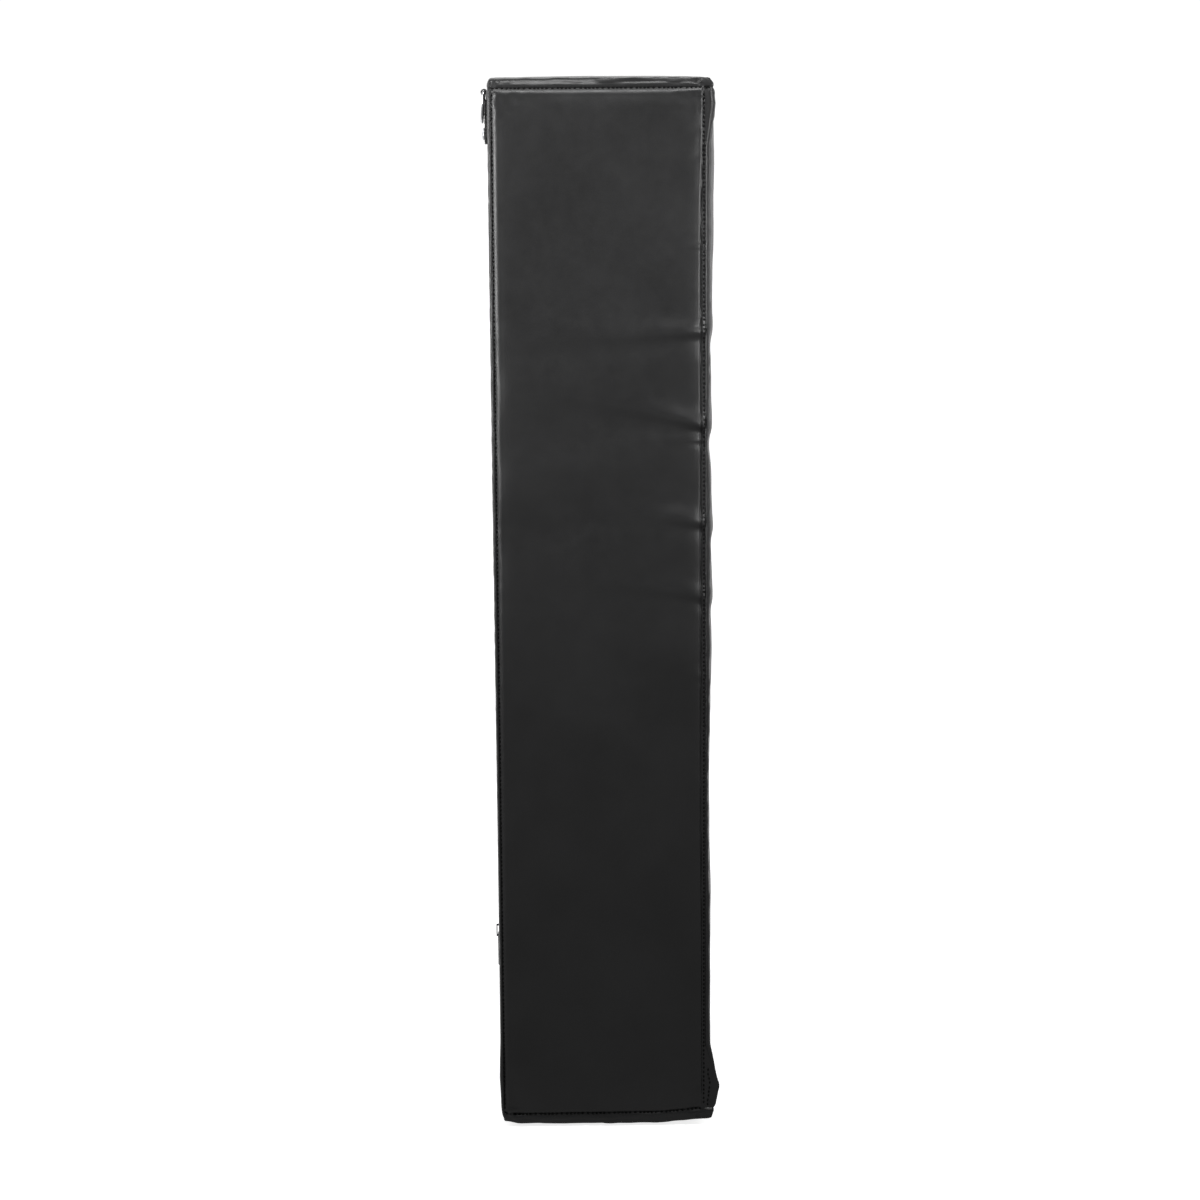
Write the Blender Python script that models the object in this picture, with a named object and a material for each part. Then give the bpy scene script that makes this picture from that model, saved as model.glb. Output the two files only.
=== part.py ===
"""Wall punch pad: a tall padded block for striking practice that hangs flat against a wall.

A sewn vinyl cover holds a plywood backboard and three layers of foam. The cover closes with a
long zip down the back. Four folded webbing tabs, screwed through the cover into the backboard,
carry the D-rings that hang the pad on wall hooks.

Units are metres. +Z is up, the striking face looks along -Y, and the wall is the plane y = 0.
"""

import math

import bmesh
import bpy

# The whole pad
PAD_WIDTH = 0.500
PAD_DEPTH = 0.203
PAD_HEIGHT = 1.000
FRONT_CROWN = 0.005
COVER = 0.0015
GAP = 0.0003

# The filling, from the wall outwards
BOARD = 0.015
BOARD_INSET = 0.004
BOARD_CORNER = 0.012
FOAM_CORNER = 0.010
CORNER_STEPS = 5
FIRM_FOAM = 0.030
IMPACT_FOAM = 0.035

# The crown of the striking face: flat in the middle, falling away near its edges
CROWN_COLUMNS = 8
CROWN_ROWS = 16
CROWN_POWER_ACROSS = 4
CROWN_POWER_ALONG = 8

# The back of the cover: a middle panel, a zip to its right, and a strip on each side
BACK_MIDDLE_WIDTH = 0.236
ZIP_GAP_WIDTH = 0.032

# The zip
TAPE = 0.0006
TAPE_DEPTH = 0.0006
TAPE_SLIT = 0.001
CHAIN_LENGTH = 0.880
CHAIN_WIDTH = 0.006
CHAIN_THICKNESS = 0.0025
CHAIN_BASE = -0.0003
STOP_LENGTH = 0.006
STOP_WIDTH = 0.007

# The zip slider: a saddle over the chain, with an arch that holds the pull
SLIDER_LENGTH = 0.022
SLIDER_WALL = 0.0014
SLIDER_CLEARANCE = 0.0004
SLIDER_END_GAP = 0.002
ARCH_WIDTH = 0.0024
ARCH_LENGTH = 0.0136
ARCH_POST = 0.0016
ARCH_HEADROOM = 0.0026
ARCH_BAR = 0.0012

# The zip pull: two legs, a cross bar under the arch and a plate
PULL_BAR = 0.0016
PULL_WIDTH = 0.0075
PULL_SLOT_WIDTH = 0.0042
PULL_SLOT_LENGTH = 0.0125
PULL_PLATE_LENGTH = 0.022

# The hanging tabs and rings
TAB_OFFSET_X = 0.186
TOP_BAR_BELOW_TOP = 0.012
WEB_WIDTH = 0.038
WEB = 0.0011
WEB_LAYER_GAP = 0.0003
TAB_LENGTH = 0.048
LOOP_RADIUS = 0.0024
LOOP_OVERWRAP = math.radians(25)
LOOP_STEPS = 9
RING_WIRE = 0.0014
RING_HALF_WIDTH = 0.022
RING_LEG = 0.006
RING_CORNER = 0.003
RING_CORNER_STEPS = 3
RING_BEND_STEPS = 16
TOP_RING_TILT = math.radians(4.6)

# The screw through each tab, and the T-nut in the backboard
SCREW_BELOW_BAR = 0.039
SCREW_HEAD_RADIUS = 0.006
SCREW_HEAD = 0.0022
SCREW_SHANK_RADIUS = 0.0029
WEB_HOLE_RADIUS = 0.0033
NUT_BORE_RADIUS = 0.0033
NUT_BARREL_RADIUS = 0.004
NUT_FLANGE_RADIUS = 0.009
NUT_FLANGE = 0.0015
NUT_LENGTH = 0.012
NUT_CLEARANCE = 0.0003
SCREW_DOME_RADIUS = 0.0045
SCREW_RIM = 0.0009
SCREW_DOME = 0.0019
ROUND_STEPS = 20
SMOOTH_ANGLE = math.radians(40)

# Worked out from the dimensions above
INNER_HALF_WIDTH = PAD_WIDTH / 2 - COVER - GAP
INNER_HALF_HEIGHT = PAD_HEIGHT / 2 - COVER - GAP
BOARD_BACK = -(COVER + GAP)
BOARD_FRONT = BOARD_BACK - BOARD
FIRM_BACK = BOARD_FRONT - GAP
FIRM_FRONT = FIRM_BACK - FIRM_FOAM
CORE_BACK = FIRM_FRONT - GAP
FRONT_INSIDE = -(PAD_DEPTH - COVER)
IMPACT_FRONT = FRONT_INSIDE + GAP
IMPACT_BACK = IMPACT_FRONT + IMPACT_FOAM
CORE_FRONT = IMPACT_BACK + GAP
ZIP_X = BACK_MIDDLE_WIDTH / 2 + ZIP_GAP_WIDTH / 2
CHAIN_TOP = CHAIN_BASE + CHAIN_THICKNESS
SLIDER_Z = -CHAIN_LENGTH / 2 + SLIDER_END_GAP + SLIDER_LENGTH / 2
SLIDER_PLATE = CHAIN_TOP + SLIDER_CLEARANCE
SLIDER_TOP = SLIDER_PLATE + SLIDER_WALL
PULL_AXIS_Y = SLIDER_TOP + ARCH_HEADROOM / 2
PULL_AXIS_BELOW = ARCH_LENGTH / 2 - ARCH_POST - ARCH_HEADROOM / 2
WEB_INNER_Y = GAP + WEB / 2
WEB_OUTER_Y = WEB_INNER_Y + WEB + WEB_LAYER_GAP
RING_AXIS_Y = WEB_INNER_Y + LOOP_RADIUS
SCREW_SEAT_Y = WEB_OUTER_Y + WEB / 2 + GAP

FINISHES = {
    "smooth_vinyl": ((0.018, 0.018, 0.019), 0.42, 0.0),
    "grained_vinyl": ((0.022, 0.022, 0.023), 0.48, 0.0),
    "webbing": ((0.020, 0.020, 0.021), 0.85, 0.0),
    "zip_tape": ((0.015, 0.015, 0.016), 0.90, 0.0),
    "zip_plastic": ((0.025, 0.025, 0.026), 0.40, 0.0),
    "black_metal": ((0.050, 0.050, 0.052), 0.35, 0.6),
    "steel": ((0.620, 0.630, 0.640), 0.28, 1.0),
    "zinc_steel": ((0.560, 0.570, 0.590), 0.38, 1.0),
    "plywood": ((0.560, 0.400, 0.240), 0.70, 0.0),
    "firm_foam": ((0.250, 0.330, 0.420), 0.95, 0.0),
    "core_foam": ((0.720, 0.700, 0.620), 0.95, 0.0),
    "impact_foam": ((0.060, 0.060, 0.065), 0.90, 0.0),
}


def clear_scene():
    for thing in list(bpy.data.objects):
        bpy.data.objects.remove(thing, do_unlink=True)


def finish(name, finish_name):
    """A material of its own for one piece."""
    colour, roughness, metallic = FINISHES[finish_name]
    material = bpy.data.materials.new(name)
    material.use_nodes = True
    shader = material.node_tree.nodes["Principled BSDF"]
    shader.inputs["Base Color"].default_value = (*colour, 1.0)
    shader.inputs["Roughness"].default_value = roughness
    shader.inputs["Metallic"].default_value = metallic
    return material


def place(name, data, finish_name, location=(0, 0, 0)):
    thing = bpy.data.objects.new(name, data)
    thing.location = location
    thing.data.materials.append(finish(name, finish_name))
    bpy.context.scene.collection.objects.link(thing)
    return thing


def mesh_of(name, bm):
    bmesh.ops.recalc_face_normals(bm, faces=bm.faces)
    data = bpy.data.meshes.new(name)
    bm.to_mesh(data)
    bm.free()
    return data


def box_mesh(name, size):
    bm = bmesh.new()
    bmesh.ops.create_cube(bm, size=1.0)
    bmesh.ops.scale(bm, vec=size, verts=bm.verts)
    return mesh_of(name, bm)


def slab(name, finish_name, x, y, z):
    """A box between two limits on each axis."""
    spans = [sorted(limits) for limits in (x, y, z)]
    size = [high - low for low, high in spans]
    centre = [(high + low) / 2 for low, high in spans]
    return place(name, box_mesh(name, size), finish_name, centre)


def extruded(name, outline, direction):
    """A closed outline, a list of points in a plane, pulled along a direction."""
    bm = bmesh.new()
    face = bm.faces.new([bm.verts.new(point) for point in outline])
    pulled = bmesh.ops.extrude_face_region(bm, geom=[face])
    moved = [item for item in pulled["geom"] if isinstance(item, bmesh.types.BMVert)]
    bmesh.ops.translate(bm, vec=direction, verts=moved)
    return mesh_of(name, bm)


def turned(name, profile):
    """A closed (radius, y) profile turned about the Y axis."""
    bm = bmesh.new()
    rings = []
    for step in range(ROUND_STEPS):
        angle = 2 * math.pi * step / ROUND_STEPS
        ring = [bm.verts.new((r * math.cos(angle), y, r * math.sin(angle))) for r, y in profile]
        rings.append(ring)
    for step in range(ROUND_STEPS):
        near, far = rings[step], rings[(step + 1) % ROUND_STEPS]
        for i in range(len(profile)):
            j = (i + 1) % len(profile)
            bm.faces.new((near[i], near[j], far[j], far[i]))
    bmesh.ops.remove_doubles(bm, verts=bm.verts, dist=1e-7)
    bmesh.ops.dissolve_degenerate(bm, dist=1e-7, edges=bm.edges)
    data = mesh_of(name, bm)
    data.shade_smooth()
    data.set_sharp_from_angle(angle=SMOOTH_ANGLE)
    return data


def crown(u, v):
    """How far the striking face stands proud at u, v, each from -1 to 1 across the pad."""
    across = math.sqrt(1 - u**CROWN_POWER_ACROSS)
    along = math.sqrt(1 - v**CROWN_POWER_ALONG)
    return FRONT_CROWN * across * along


def crowned_slab(name, finish_name, back, front, half_width, half_height, curved_back):
    """A slab across the pad whose front is crowned, and its back too where curved_back is set."""
    bm = bmesh.new()
    layers = []
    for y, curved in ((back, curved_back), (front, True)):
        rows = []
        for row in range(CROWN_ROWS + 1):
            v = 2 * row / CROWN_ROWS - 1
            line = []
            for column in range(CROWN_COLUMNS + 1):
                u = 2 * column / CROWN_COLUMNS - 1
                lift = crown(u, v) if curved else 0.0
                line.append(bm.verts.new((u * half_width, y - lift, v * half_height)))
            rows.append(line)
        layers.append(rows)
    for rows in layers:
        for row in range(CROWN_ROWS):
            for column in range(CROWN_COLUMNS):
                low, high = rows[row], rows[row + 1]
                bm.faces.new((low[column], low[column + 1], high[column + 1], high[column]))
    rims = [rim_of(rows) for rows in layers]
    for i in range(len(rims[0])):
        j = (i + 1) % len(rims[0])
        bm.faces.new((rims[0][i], rims[0][j], rims[1][j], rims[1][i]))
    return place(name, mesh_of(name, bm), finish_name)


def rim_of(rows):
    """The outer points of a grid, in order."""
    right = [line[-1] for line in rows[1:]]
    top = list(reversed(rows[-1][:-1]))
    left = [line[0] for line in reversed(rows[1:-1])]
    return list(rows[0]) + right + top + left


def cut(target, cutter):
    """Takes the cutter's shape out of the target."""
    cutter.hide_render = True
    cutter.display_type = "WIRE"
    step = target.modifiers.new("cut_" + cutter.name, "BOOLEAN")
    step.operation = "DIFFERENCE"
    step.solver = "EXACT"
    step.object = cutter


def drill(target, name, radius, x, z, y_low, y_high):
    profile = [(0, y_low), (radius, y_low), (radius, y_high), (0, y_high)]
    cut(target, place(name, turned(name, profile), "steel", (x, 0, z)))


def make_filling():
    board = slab(
        "backboard",
        "plywood",
        (-INNER_HALF_WIDTH + BOARD_INSET, INNER_HALF_WIDTH - BOARD_INSET),
        (BOARD_FRONT, BOARD_BACK),
        (-INNER_HALF_HEIGHT + BOARD_INSET, INNER_HALF_HEIGHT - BOARD_INSET),
    )
    round_corners(board.data, BOARD_CORNER)
    across = (-INNER_HALF_WIDTH, INNER_HALF_WIDTH)
    upright = (-INNER_HALF_HEIGHT, INNER_HALF_HEIGHT)
    firm = slab("firm_foam_layer", "firm_foam", across, (FIRM_FRONT, FIRM_BACK), upright)
    core = slab("core_foam_block", "core_foam", across, (CORE_FRONT, CORE_BACK), upright)
    for foam in (firm, core):
        round_corners(foam.data, FOAM_CORNER)
    crowned_slab(
        "impact_foam_layer",
        "impact_foam",
        IMPACT_BACK,
        IMPACT_FRONT,
        INNER_HALF_WIDTH,
        INNER_HALF_HEIGHT,
        curved_back=False,
    )
    return board


def round_corners(data, radius):
    """Rounds the four edges of a slab that run through its thickness, front to back."""
    bm = bmesh.new()
    bm.from_mesh(data)
    through = [e for e in bm.edges if abs(e.verts[0].co.y - e.verts[1].co.y) > GAP]
    bmesh.ops.bevel(bm, geom=through, offset=radius, segments=CORNER_STEPS, affect="EDGES")
    bm.to_mesh(data)
    bm.free()


def make_cover():
    """The eight vinyl panels. Returns the two back strips, which the tab screws go through."""
    half_width, half_height = PAD_WIDTH / 2, PAD_HEIGHT / 2
    crowned_slab(
        "front_panel",
        "grained_vinyl",
        FRONT_INSIDE,
        -PAD_DEPTH,
        half_width,
        half_height,
        curved_back=True,
    )
    between = (FRONT_INSIDE + GAP, -COVER - GAP)
    upright = (-half_height, half_height)
    for side, sign in (("left", -1), ("right", 1)):
        limits = (sign * half_width, sign * (half_width - COVER))
        slab(f"side_panel_{side}", "smooth_vinyl", limits, between, upright)
    across = (-INNER_HALF_WIDTH, INNER_HALF_WIDTH)
    slab("top_panel", "smooth_vinyl", across, between, (half_height - COVER, half_height))
    slab("bottom_panel", "smooth_vinyl", across, between, (COVER - half_height, -half_height))

    middle = BACK_MIDDLE_WIDTH / 2
    zip_edge = middle + ZIP_GAP_WIDTH
    thickness = (-COVER, 0)
    slab("back_middle_panel", "grained_vinyl", (-middle, middle), thickness, upright)
    left = slab("back_strip_left", "smooth_vinyl", (-half_width, -middle - GAP), thickness, upright)
    right = slab("back_strip_right", "smooth_vinyl", (zip_edge, half_width), thickness, upright)
    return {-1: left, 1: right}


def make_zip():
    upright = (-INNER_HALF_HEIGHT, INNER_HALF_HEIGHT)
    outer = ZIP_GAP_WIDTH / 2 - GAP
    thickness = (-TAPE_DEPTH - TAPE, -TAPE_DEPTH)
    for side, sign in (("left", -1), ("right", 1)):
        limits = (ZIP_X + sign * TAPE_SLIT / 2, ZIP_X + sign * outer)
        slab(f"zip_tape_{side}", "zip_tape", limits, thickness, upright)
    chain_end = CHAIN_LENGTH / 2
    chain_sides = (ZIP_X - CHAIN_WIDTH / 2, ZIP_X + CHAIN_WIDTH / 2)
    chain_layer = (CHAIN_BASE, CHAIN_TOP)
    slab("zip_chain", "zip_plastic", chain_sides, chain_layer, (-chain_end, chain_end))
    stop_sides = (ZIP_X - STOP_WIDTH / 2, ZIP_X + STOP_WIDTH / 2)
    near, far = chain_end + GAP, chain_end + GAP + STOP_LENGTH
    slab("zip_stop_top", "black_metal", stop_sides, chain_layer, (near, far))
    slab("zip_stop_bottom", "black_metal", stop_sides, chain_layer, (-near, -far))


def make_slider():
    """The slider, with its origin on the chain's centre line, and the pull on its own hinge line."""
    inner = CHAIN_WIDTH / 2 + SLIDER_CLEARANCE
    outer = inner + SLIDER_WALL
    foot = GAP / 2 - TAPE_DEPTH + SLIDER_CLEARANCE
    end = -SLIDER_LENGTH / 2
    saddle = [
        (-outer, foot, end),
        (-inner, foot, end),
        (-inner, SLIDER_PLATE, end),
        (inner, SLIDER_PLATE, end),
        (inner, foot, end),
        (outer, foot, end),
        (outer, SLIDER_TOP, end),
        (-outer, SLIDER_TOP, end),
    ]
    origin = (ZIP_X, 0, SLIDER_Z)
    slider_mesh = extruded("zip_slider", saddle, (0, 0, SLIDER_LENGTH))
    slider = place("zip_slider", slider_mesh, "black_metal", origin)

    rise = SLIDER_TOP + ARCH_HEADROOM
    reach, opening = ARCH_LENGTH / 2, ARCH_LENGTH / 2 - ARCH_POST
    root = SLIDER_TOP - SLIDER_WALL / 2
    arch = [
        (-ARCH_WIDTH / 2, root, -reach),
        (-ARCH_WIDTH / 2, root, -opening),
        (-ARCH_WIDTH / 2, rise, -opening),
        (-ARCH_WIDTH / 2, rise, opening),
        (-ARCH_WIDTH / 2, root, opening),
        (-ARCH_WIDTH / 2, root, reach),
        (-ARCH_WIDTH / 2, rise + ARCH_BAR, reach),
        (-ARCH_WIDTH / 2, rise + ARCH_BAR, -reach),
    ]
    arch_mesh = extruded("zip_slider_arch", arch, (ARCH_WIDTH, 0, 0))
    arch_guide = place("zip_slider_arch", arch_mesh, "black_metal", origin)
    arch_guide.hide_render = True
    arch_guide.display_type = "WIRE"
    join = slider.modifiers.new("arch", "BOOLEAN")
    join.operation = "UNION"
    join.solver = "EXACT"
    join.object = arch_guide

    axis = (ZIP_X, PULL_AXIS_Y, SLIDER_Z - PULL_AXIS_BELOW)
    place("zip_pull", pull_mesh(), "black_metal", axis)


def pull_mesh():
    """A plate with a slot at its top. Its origin is the middle of the bar above the slot."""
    columns = (-PULL_WIDTH / 2, -PULL_SLOT_WIDTH / 2, PULL_SLOT_WIDTH / 2, PULL_WIDTH / 2)
    slot_end = -PULL_BAR / 2 - PULL_SLOT_LENGTH
    rows = (PULL_BAR / 2, -PULL_BAR / 2, slot_end, slot_end - PULL_PLATE_LENGTH)
    bm = bmesh.new()
    grid = [[bm.verts.new((x, -PULL_BAR / 2, z)) for x in columns] for z in rows]
    for row in range(3):
        for column in range(3):
            if (row, column) != (1, 1):
                low, high = grid[row + 1], grid[row]
                bm.faces.new((low[column], low[column + 1], high[column + 1], high[column]))
    pulled = bmesh.ops.extrude_face_region(bm, geom=list(bm.faces))
    moved = [item for item in pulled["geom"] if isinstance(item, bmesh.types.BMVert)]
    bmesh.ops.translate(bm, vec=(0, PULL_BAR, 0), verts=moved)
    return mesh_of("zip_pull", bm)


def web_path():
    """The folded webbing's middle line as (y, distance below the ring's bar)."""
    path = [(WEB_INNER_Y, TAB_LENGTH), (WEB_INNER_Y, 0)]
    sweep = math.pi + LOOP_OVERWRAP
    for step in range(1, LOOP_STEPS + 1):
        angle = sweep * step / LOOP_STEPS
        y = RING_AXIS_Y - LOOP_RADIUS * math.cos(angle)
        path.append((y, -LOOP_RADIUS * math.sin(angle)))
    end_y, end_s = path[-1]
    run = (end_y - WEB_OUTER_Y) / math.tan(LOOP_OVERWRAP)
    path.append((WEB_OUTER_Y, end_s + run))
    path.append((WEB_OUTER_Y, TAB_LENGTH))
    return path


def offset_path(path, distance):
    """The path moved sideways, with its corners mitred."""
    moved = []
    for i, (a, b) in enumerate(path):
        before = path[max(i - 1, 0)]
        after = path[min(i + 1, len(path) - 1)]
        normals = []
        for start, end in ((before, (a, b)), ((a, b), after)):
            da, db = end[0] - start[0], end[1] - start[1]
            length = math.hypot(da, db)
            if length > 0:
                normals.append((-db / length, da / length))
        mean = [sum(part) / len(normals) for part in zip(*normals)]
        scale = distance / (mean[0] ** 2 + mean[1] ** 2)
        moved.append((a + mean[0] * scale, b + mean[1] * scale))
    return moved


def tab_mesh(name, down):
    """Webbing folded round the ring's bar. down is -1 where the tab lies below the bar, else 1."""
    path = web_path()
    outline = offset_path(path, WEB / 2) + list(reversed(offset_path(path, -WEB / 2)))
    points = [(-WEB_WIDTH / 2, y, down * s) for y, s in outline]
    data = extruded(name, points, (WEB_WIDTH, 0, 0))
    data.shade_smooth()
    data.set_sharp_from_angle(angle=SMOOTH_ANGLE)
    return data


def ring_points():
    """The D-ring's middle line in its own plane: both corners of its bar, then its bend."""
    points = []
    quarter = [math.pi / 2 * step / RING_CORNER_STEPS for step in range(RING_CORNER_STEPS + 1)]
    centre = RING_HALF_WIDTH - RING_CORNER
    for angle in quarter:
        x = -centre - RING_CORNER * math.cos(angle)
        points.append((x, RING_CORNER * (math.sin(angle) - 1)))
    for angle in reversed(quarter):
        x = centre + RING_CORNER * math.cos(angle)
        points.append((x, RING_CORNER * (math.sin(angle) - 1)))
    for step in range(RING_BEND_STEPS + 1):
        angle = math.pi * step / RING_BEND_STEPS
        drop = RING_LEG + RING_HALF_WIDTH * math.sin(angle)
        points.append((RING_HALF_WIDTH * math.cos(angle), -drop))
    return points


def ring_curve(name):
    curve = bpy.data.curves.new(name, "CURVE")
    curve.dimensions = "3D"
    curve.bevel_depth = RING_WIRE
    curve.bevel_resolution = 2
    line = curve.splines.new("POLY")
    points = ring_points()
    line.points.add(len(points) - 1)
    for point, (x, z) in zip(line.points, points):
        point.co = (x, 0, z, 1)
    line.use_cyclic_u = True
    line.use_smooth = True
    return curve


def screw_mesh(name):
    head_top = SCREW_SEAT_Y + SCREW_HEAD
    tip = BOARD_FRONT + NUT_FLANGE
    profile = [
        (0, tip),
        (SCREW_SHANK_RADIUS, tip),
        (SCREW_SHANK_RADIUS, SCREW_SEAT_Y),
        (SCREW_HEAD_RADIUS, SCREW_SEAT_Y),
        (SCREW_HEAD_RADIUS, SCREW_SEAT_Y + SCREW_RIM),
        (SCREW_DOME_RADIUS, SCREW_SEAT_Y + SCREW_DOME),
        (0, head_top),
    ]
    return turned(name, profile)


def nut_mesh(name):
    face = BOARD_FRONT + GAP
    profile = [
        (NUT_BORE_RADIUS, face),
        (NUT_FLANGE_RADIUS, face),
        (NUT_FLANGE_RADIUS, face + NUT_FLANGE),
        (NUT_BARREL_RADIUS, face + NUT_FLANGE),
        (NUT_BARREL_RADIUS, face + NUT_LENGTH),
        (NUT_BORE_RADIUS, face + NUT_LENGTH),
    ]
    return turned(name, profile)


def make_hanger(corner, x, bar_z, down, tilt, strip, board):
    """One tab with its ring, screw and T-nut, and the holes that the screw goes through."""
    screw_z = bar_z + down * SCREW_BELOW_BAR
    tab = place(f"tab_{corner}", tab_mesh(f"tab_{corner}", down), "webbing", (x, 0, bar_z))
    ring = place(f"ring_{corner}", ring_curve(f"ring_{corner}"), "steel", (x, RING_AXIS_Y, bar_z))
    ring.rotation_euler = (tilt, 0, 0)
    place(f"screw_{corner}", screw_mesh(f"screw_{corner}"), "zinc_steel", (x, 0, screw_z))
    place(f"tnut_{corner}", nut_mesh(f"tnut_{corner}"), "zinc_steel", (x, 0, screw_z))

    outside = SCREW_SEAT_Y + GAP
    drill(tab, f"hole_tab_{corner}", WEB_HOLE_RADIUS, x, screw_z, -COVER * 2, outside)
    drill(strip, f"hole_strip_{corner}", WEB_HOLE_RADIUS, x, screw_z, -COVER * 2, outside)
    barrel = NUT_BARREL_RADIUS + NUT_CLEARANCE
    flange = NUT_FLANGE_RADIUS + NUT_CLEARANCE
    seat = BOARD_FRONT + GAP + NUT_FLANGE + NUT_CLEARANCE
    drill(board, f"hole_board_{corner}", barrel, x, screw_z, BOARD_FRONT - BOARD, BOARD)
    drill(board, f"seat_board_{corner}", flange, x, screw_z, BOARD_FRONT - BOARD, seat)


def make_hangers(strips, board):
    top_z = PAD_HEIGHT / 2 - TOP_BAR_BELOW_TOP
    for side, sign in (("left", -1), ("right", 1)):
        x = sign * TAB_OFFSET_X
        make_hanger(f"top_{side}", x, top_z, -1, TOP_RING_TILT, strips[sign], board)


def main():
    clear_scene()
    board = make_filling()
    strips = make_cover()
    make_zip()
    make_slider()
    make_hangers(strips, board)


main()
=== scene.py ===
import math

import bmesh
import bpy
import numpy as np
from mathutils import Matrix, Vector, kdtree


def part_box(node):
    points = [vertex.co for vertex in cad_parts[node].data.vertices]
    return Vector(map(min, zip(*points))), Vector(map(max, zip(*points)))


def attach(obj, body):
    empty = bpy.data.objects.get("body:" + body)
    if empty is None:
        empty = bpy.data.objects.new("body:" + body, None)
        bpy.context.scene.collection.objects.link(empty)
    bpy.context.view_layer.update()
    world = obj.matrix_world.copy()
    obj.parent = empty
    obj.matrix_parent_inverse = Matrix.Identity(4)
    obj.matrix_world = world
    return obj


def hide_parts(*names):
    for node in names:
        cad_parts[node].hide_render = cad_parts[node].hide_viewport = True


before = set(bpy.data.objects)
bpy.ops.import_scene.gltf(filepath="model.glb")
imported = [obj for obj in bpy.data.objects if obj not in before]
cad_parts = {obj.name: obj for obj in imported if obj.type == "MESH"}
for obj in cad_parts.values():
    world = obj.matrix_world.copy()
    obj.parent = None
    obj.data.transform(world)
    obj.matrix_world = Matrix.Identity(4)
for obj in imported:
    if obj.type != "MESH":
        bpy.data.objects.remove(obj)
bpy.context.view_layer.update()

# --- Sizes, in metres, from the frame and from a few sewing dimensions ---
SIDE_LOW, SIDE_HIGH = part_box("side_panel_left")
_, FRONT_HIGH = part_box("front_panel")
BACK_LOW, BACK_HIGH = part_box("back_middle_panel")
STRIP_LOW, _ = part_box("back_strip_right")

VINYL = 0.0013  # how thick the vinyl is
GAP = 0.0003  # what touching pieces keep between them

HALF_WIDTH = abs(SIDE_LOW.x)
HALF_HEIGHT = SIDE_HIGH.z
BACK_Y = BACK_HIGH.y
FRONT_Y = FRONT_HIGH.y - VINYL  # the front panel's plane where it meets the sides
MIDDLE_Y = (FRONT_Y + BACK_Y) / 2

SEAM_TOP = HALF_HEIGHT - 0.009  # the caps' seams, round the pad
SEAM_BOTTOM = -HALF_HEIGHT + 0.011
SEAM_FRONT = FRONT_Y + 0.0014  # the upright seams, on the side faces
SEAM_BACK = BACK_Y - 0.0041
BAND = 0.0056  # the flat topstitched band beside the front seam
TOPSTITCH = 0.0024  # its row of stitches, from the seam

ROUND_X_FRONT = 0.0030  # how far the pad's edges are rounded, on each axis
ROUND_X_BACK = 0.0065
ROUND_FRONT = 0.0022
ROUND_BACK = 0.0036
ROUND_Z = 0.0085

CROWN = 0.0060  # how far the striking face stands proud
ROLL = 0.0008  # how far the striking face's rolled edge bulges
PUFF_SIDE = 0.0030  # how far the filling swells the sides and the caps
PUFF_BOTTOM = 0.0028
PUFF_TOP = PUFF_BOTTOM * 0.55
SEAM_DROP = 0.0016  # how far a side panel dips at its seams
BAND_DROP = SEAM_DROP + 0.0004  # how far its flat band lies back
GROOVE = 0.0009  # the groove of a sewn line
GROOVE_WIDTH = 0.0013
LIP = 0.0003  # the soft rolls that a sewn line has beside it
LIP_AWAY = 0.0042
LIP_WIDTH = 0.0022

BOTTOM_SAG = 0.0060  # how far the filling settles at the bottom
BACK_BULGE = 0.0014  # the vinyl's slight bulge low on the back's edges
BACK_BULGE_Z = -0.450
BACK_BULGE_REACH = 0.020
CORNER_CUT = 0.018  # how large the cut at the bottom back corners is
CORNER_LIFT = 0.0034  # how far it lifts them, and draws them in
CORNER_DRAW = 0.0012

STITCH_PITCH = 0.0042
STITCH_LENGTH = 0.0029
THREAD = 0.00082  # the thread's radius

ON_FACE = 1e-6  # how near a place is that counts as on a plane
TINY = 1e-12  # keeps a length of nothing from being divided by


# --- Smooth noise, the same on every run ---
TABLE_SIZE = 8192
TABLE = np.random.RandomState(20).uniform(-1, 1, TABLE_SIZE)
LINE_STEP, LINE_SEED = 7, 131  # primes that scatter cells and seeds over the table
PLANE_U, PLANE_V, PLANE_SEED = 113, 1571, 397


def ease(t):
    """A smooth way from 0 to 1."""
    return t * t * t * (t * (t * 6 - 15) + 10)


def noise1(t, seed=0):
    """Smooth noise along a line, about one bump to each unit of t."""
    cell = np.floor(t).astype(int)
    part = ease(t - cell)
    a = TABLE[(cell * LINE_STEP + seed * LINE_SEED) % TABLE_SIZE]
    b = TABLE[((cell + 1) * LINE_STEP + seed * LINE_SEED) % TABLE_SIZE]
    return a + (b - a) * part


def noise2(u, v, seed=0):
    """Smooth noise on a plane."""
    i, j = np.floor(u).astype(int), np.floor(v).astype(int)
    fu, fv = ease(u - i), ease(v - j)

    def corner(a, b):
        return TABLE[(a * PLANE_U + b * PLANE_V + seed * PLANE_SEED) % TABLE_SIZE]

    low = corner(i, j) * (1 - fu) + corner(i + 1, j) * fu
    high = corner(i, j + 1) * (1 - fu) + corner(i + 1, j + 1) * fu
    return low * (1 - fv) + high * fv


def bump(t, width):
    """1 where t is nothing, fading both ways over the width."""
    return np.exp(-((t / width) ** 2))


def step_between(t, low, high):
    """0 below low, 1 above high, smooth between."""
    x = np.clip((t - low) / (high - low), 0, 1)
    return x * x * (3 - 2 * x)


def swelling(distance, reach):
    """0 at a seam, and near 1 once well past its reach."""
    return 1 - np.exp(-np.maximum(distance, 0) / reach)


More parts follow.
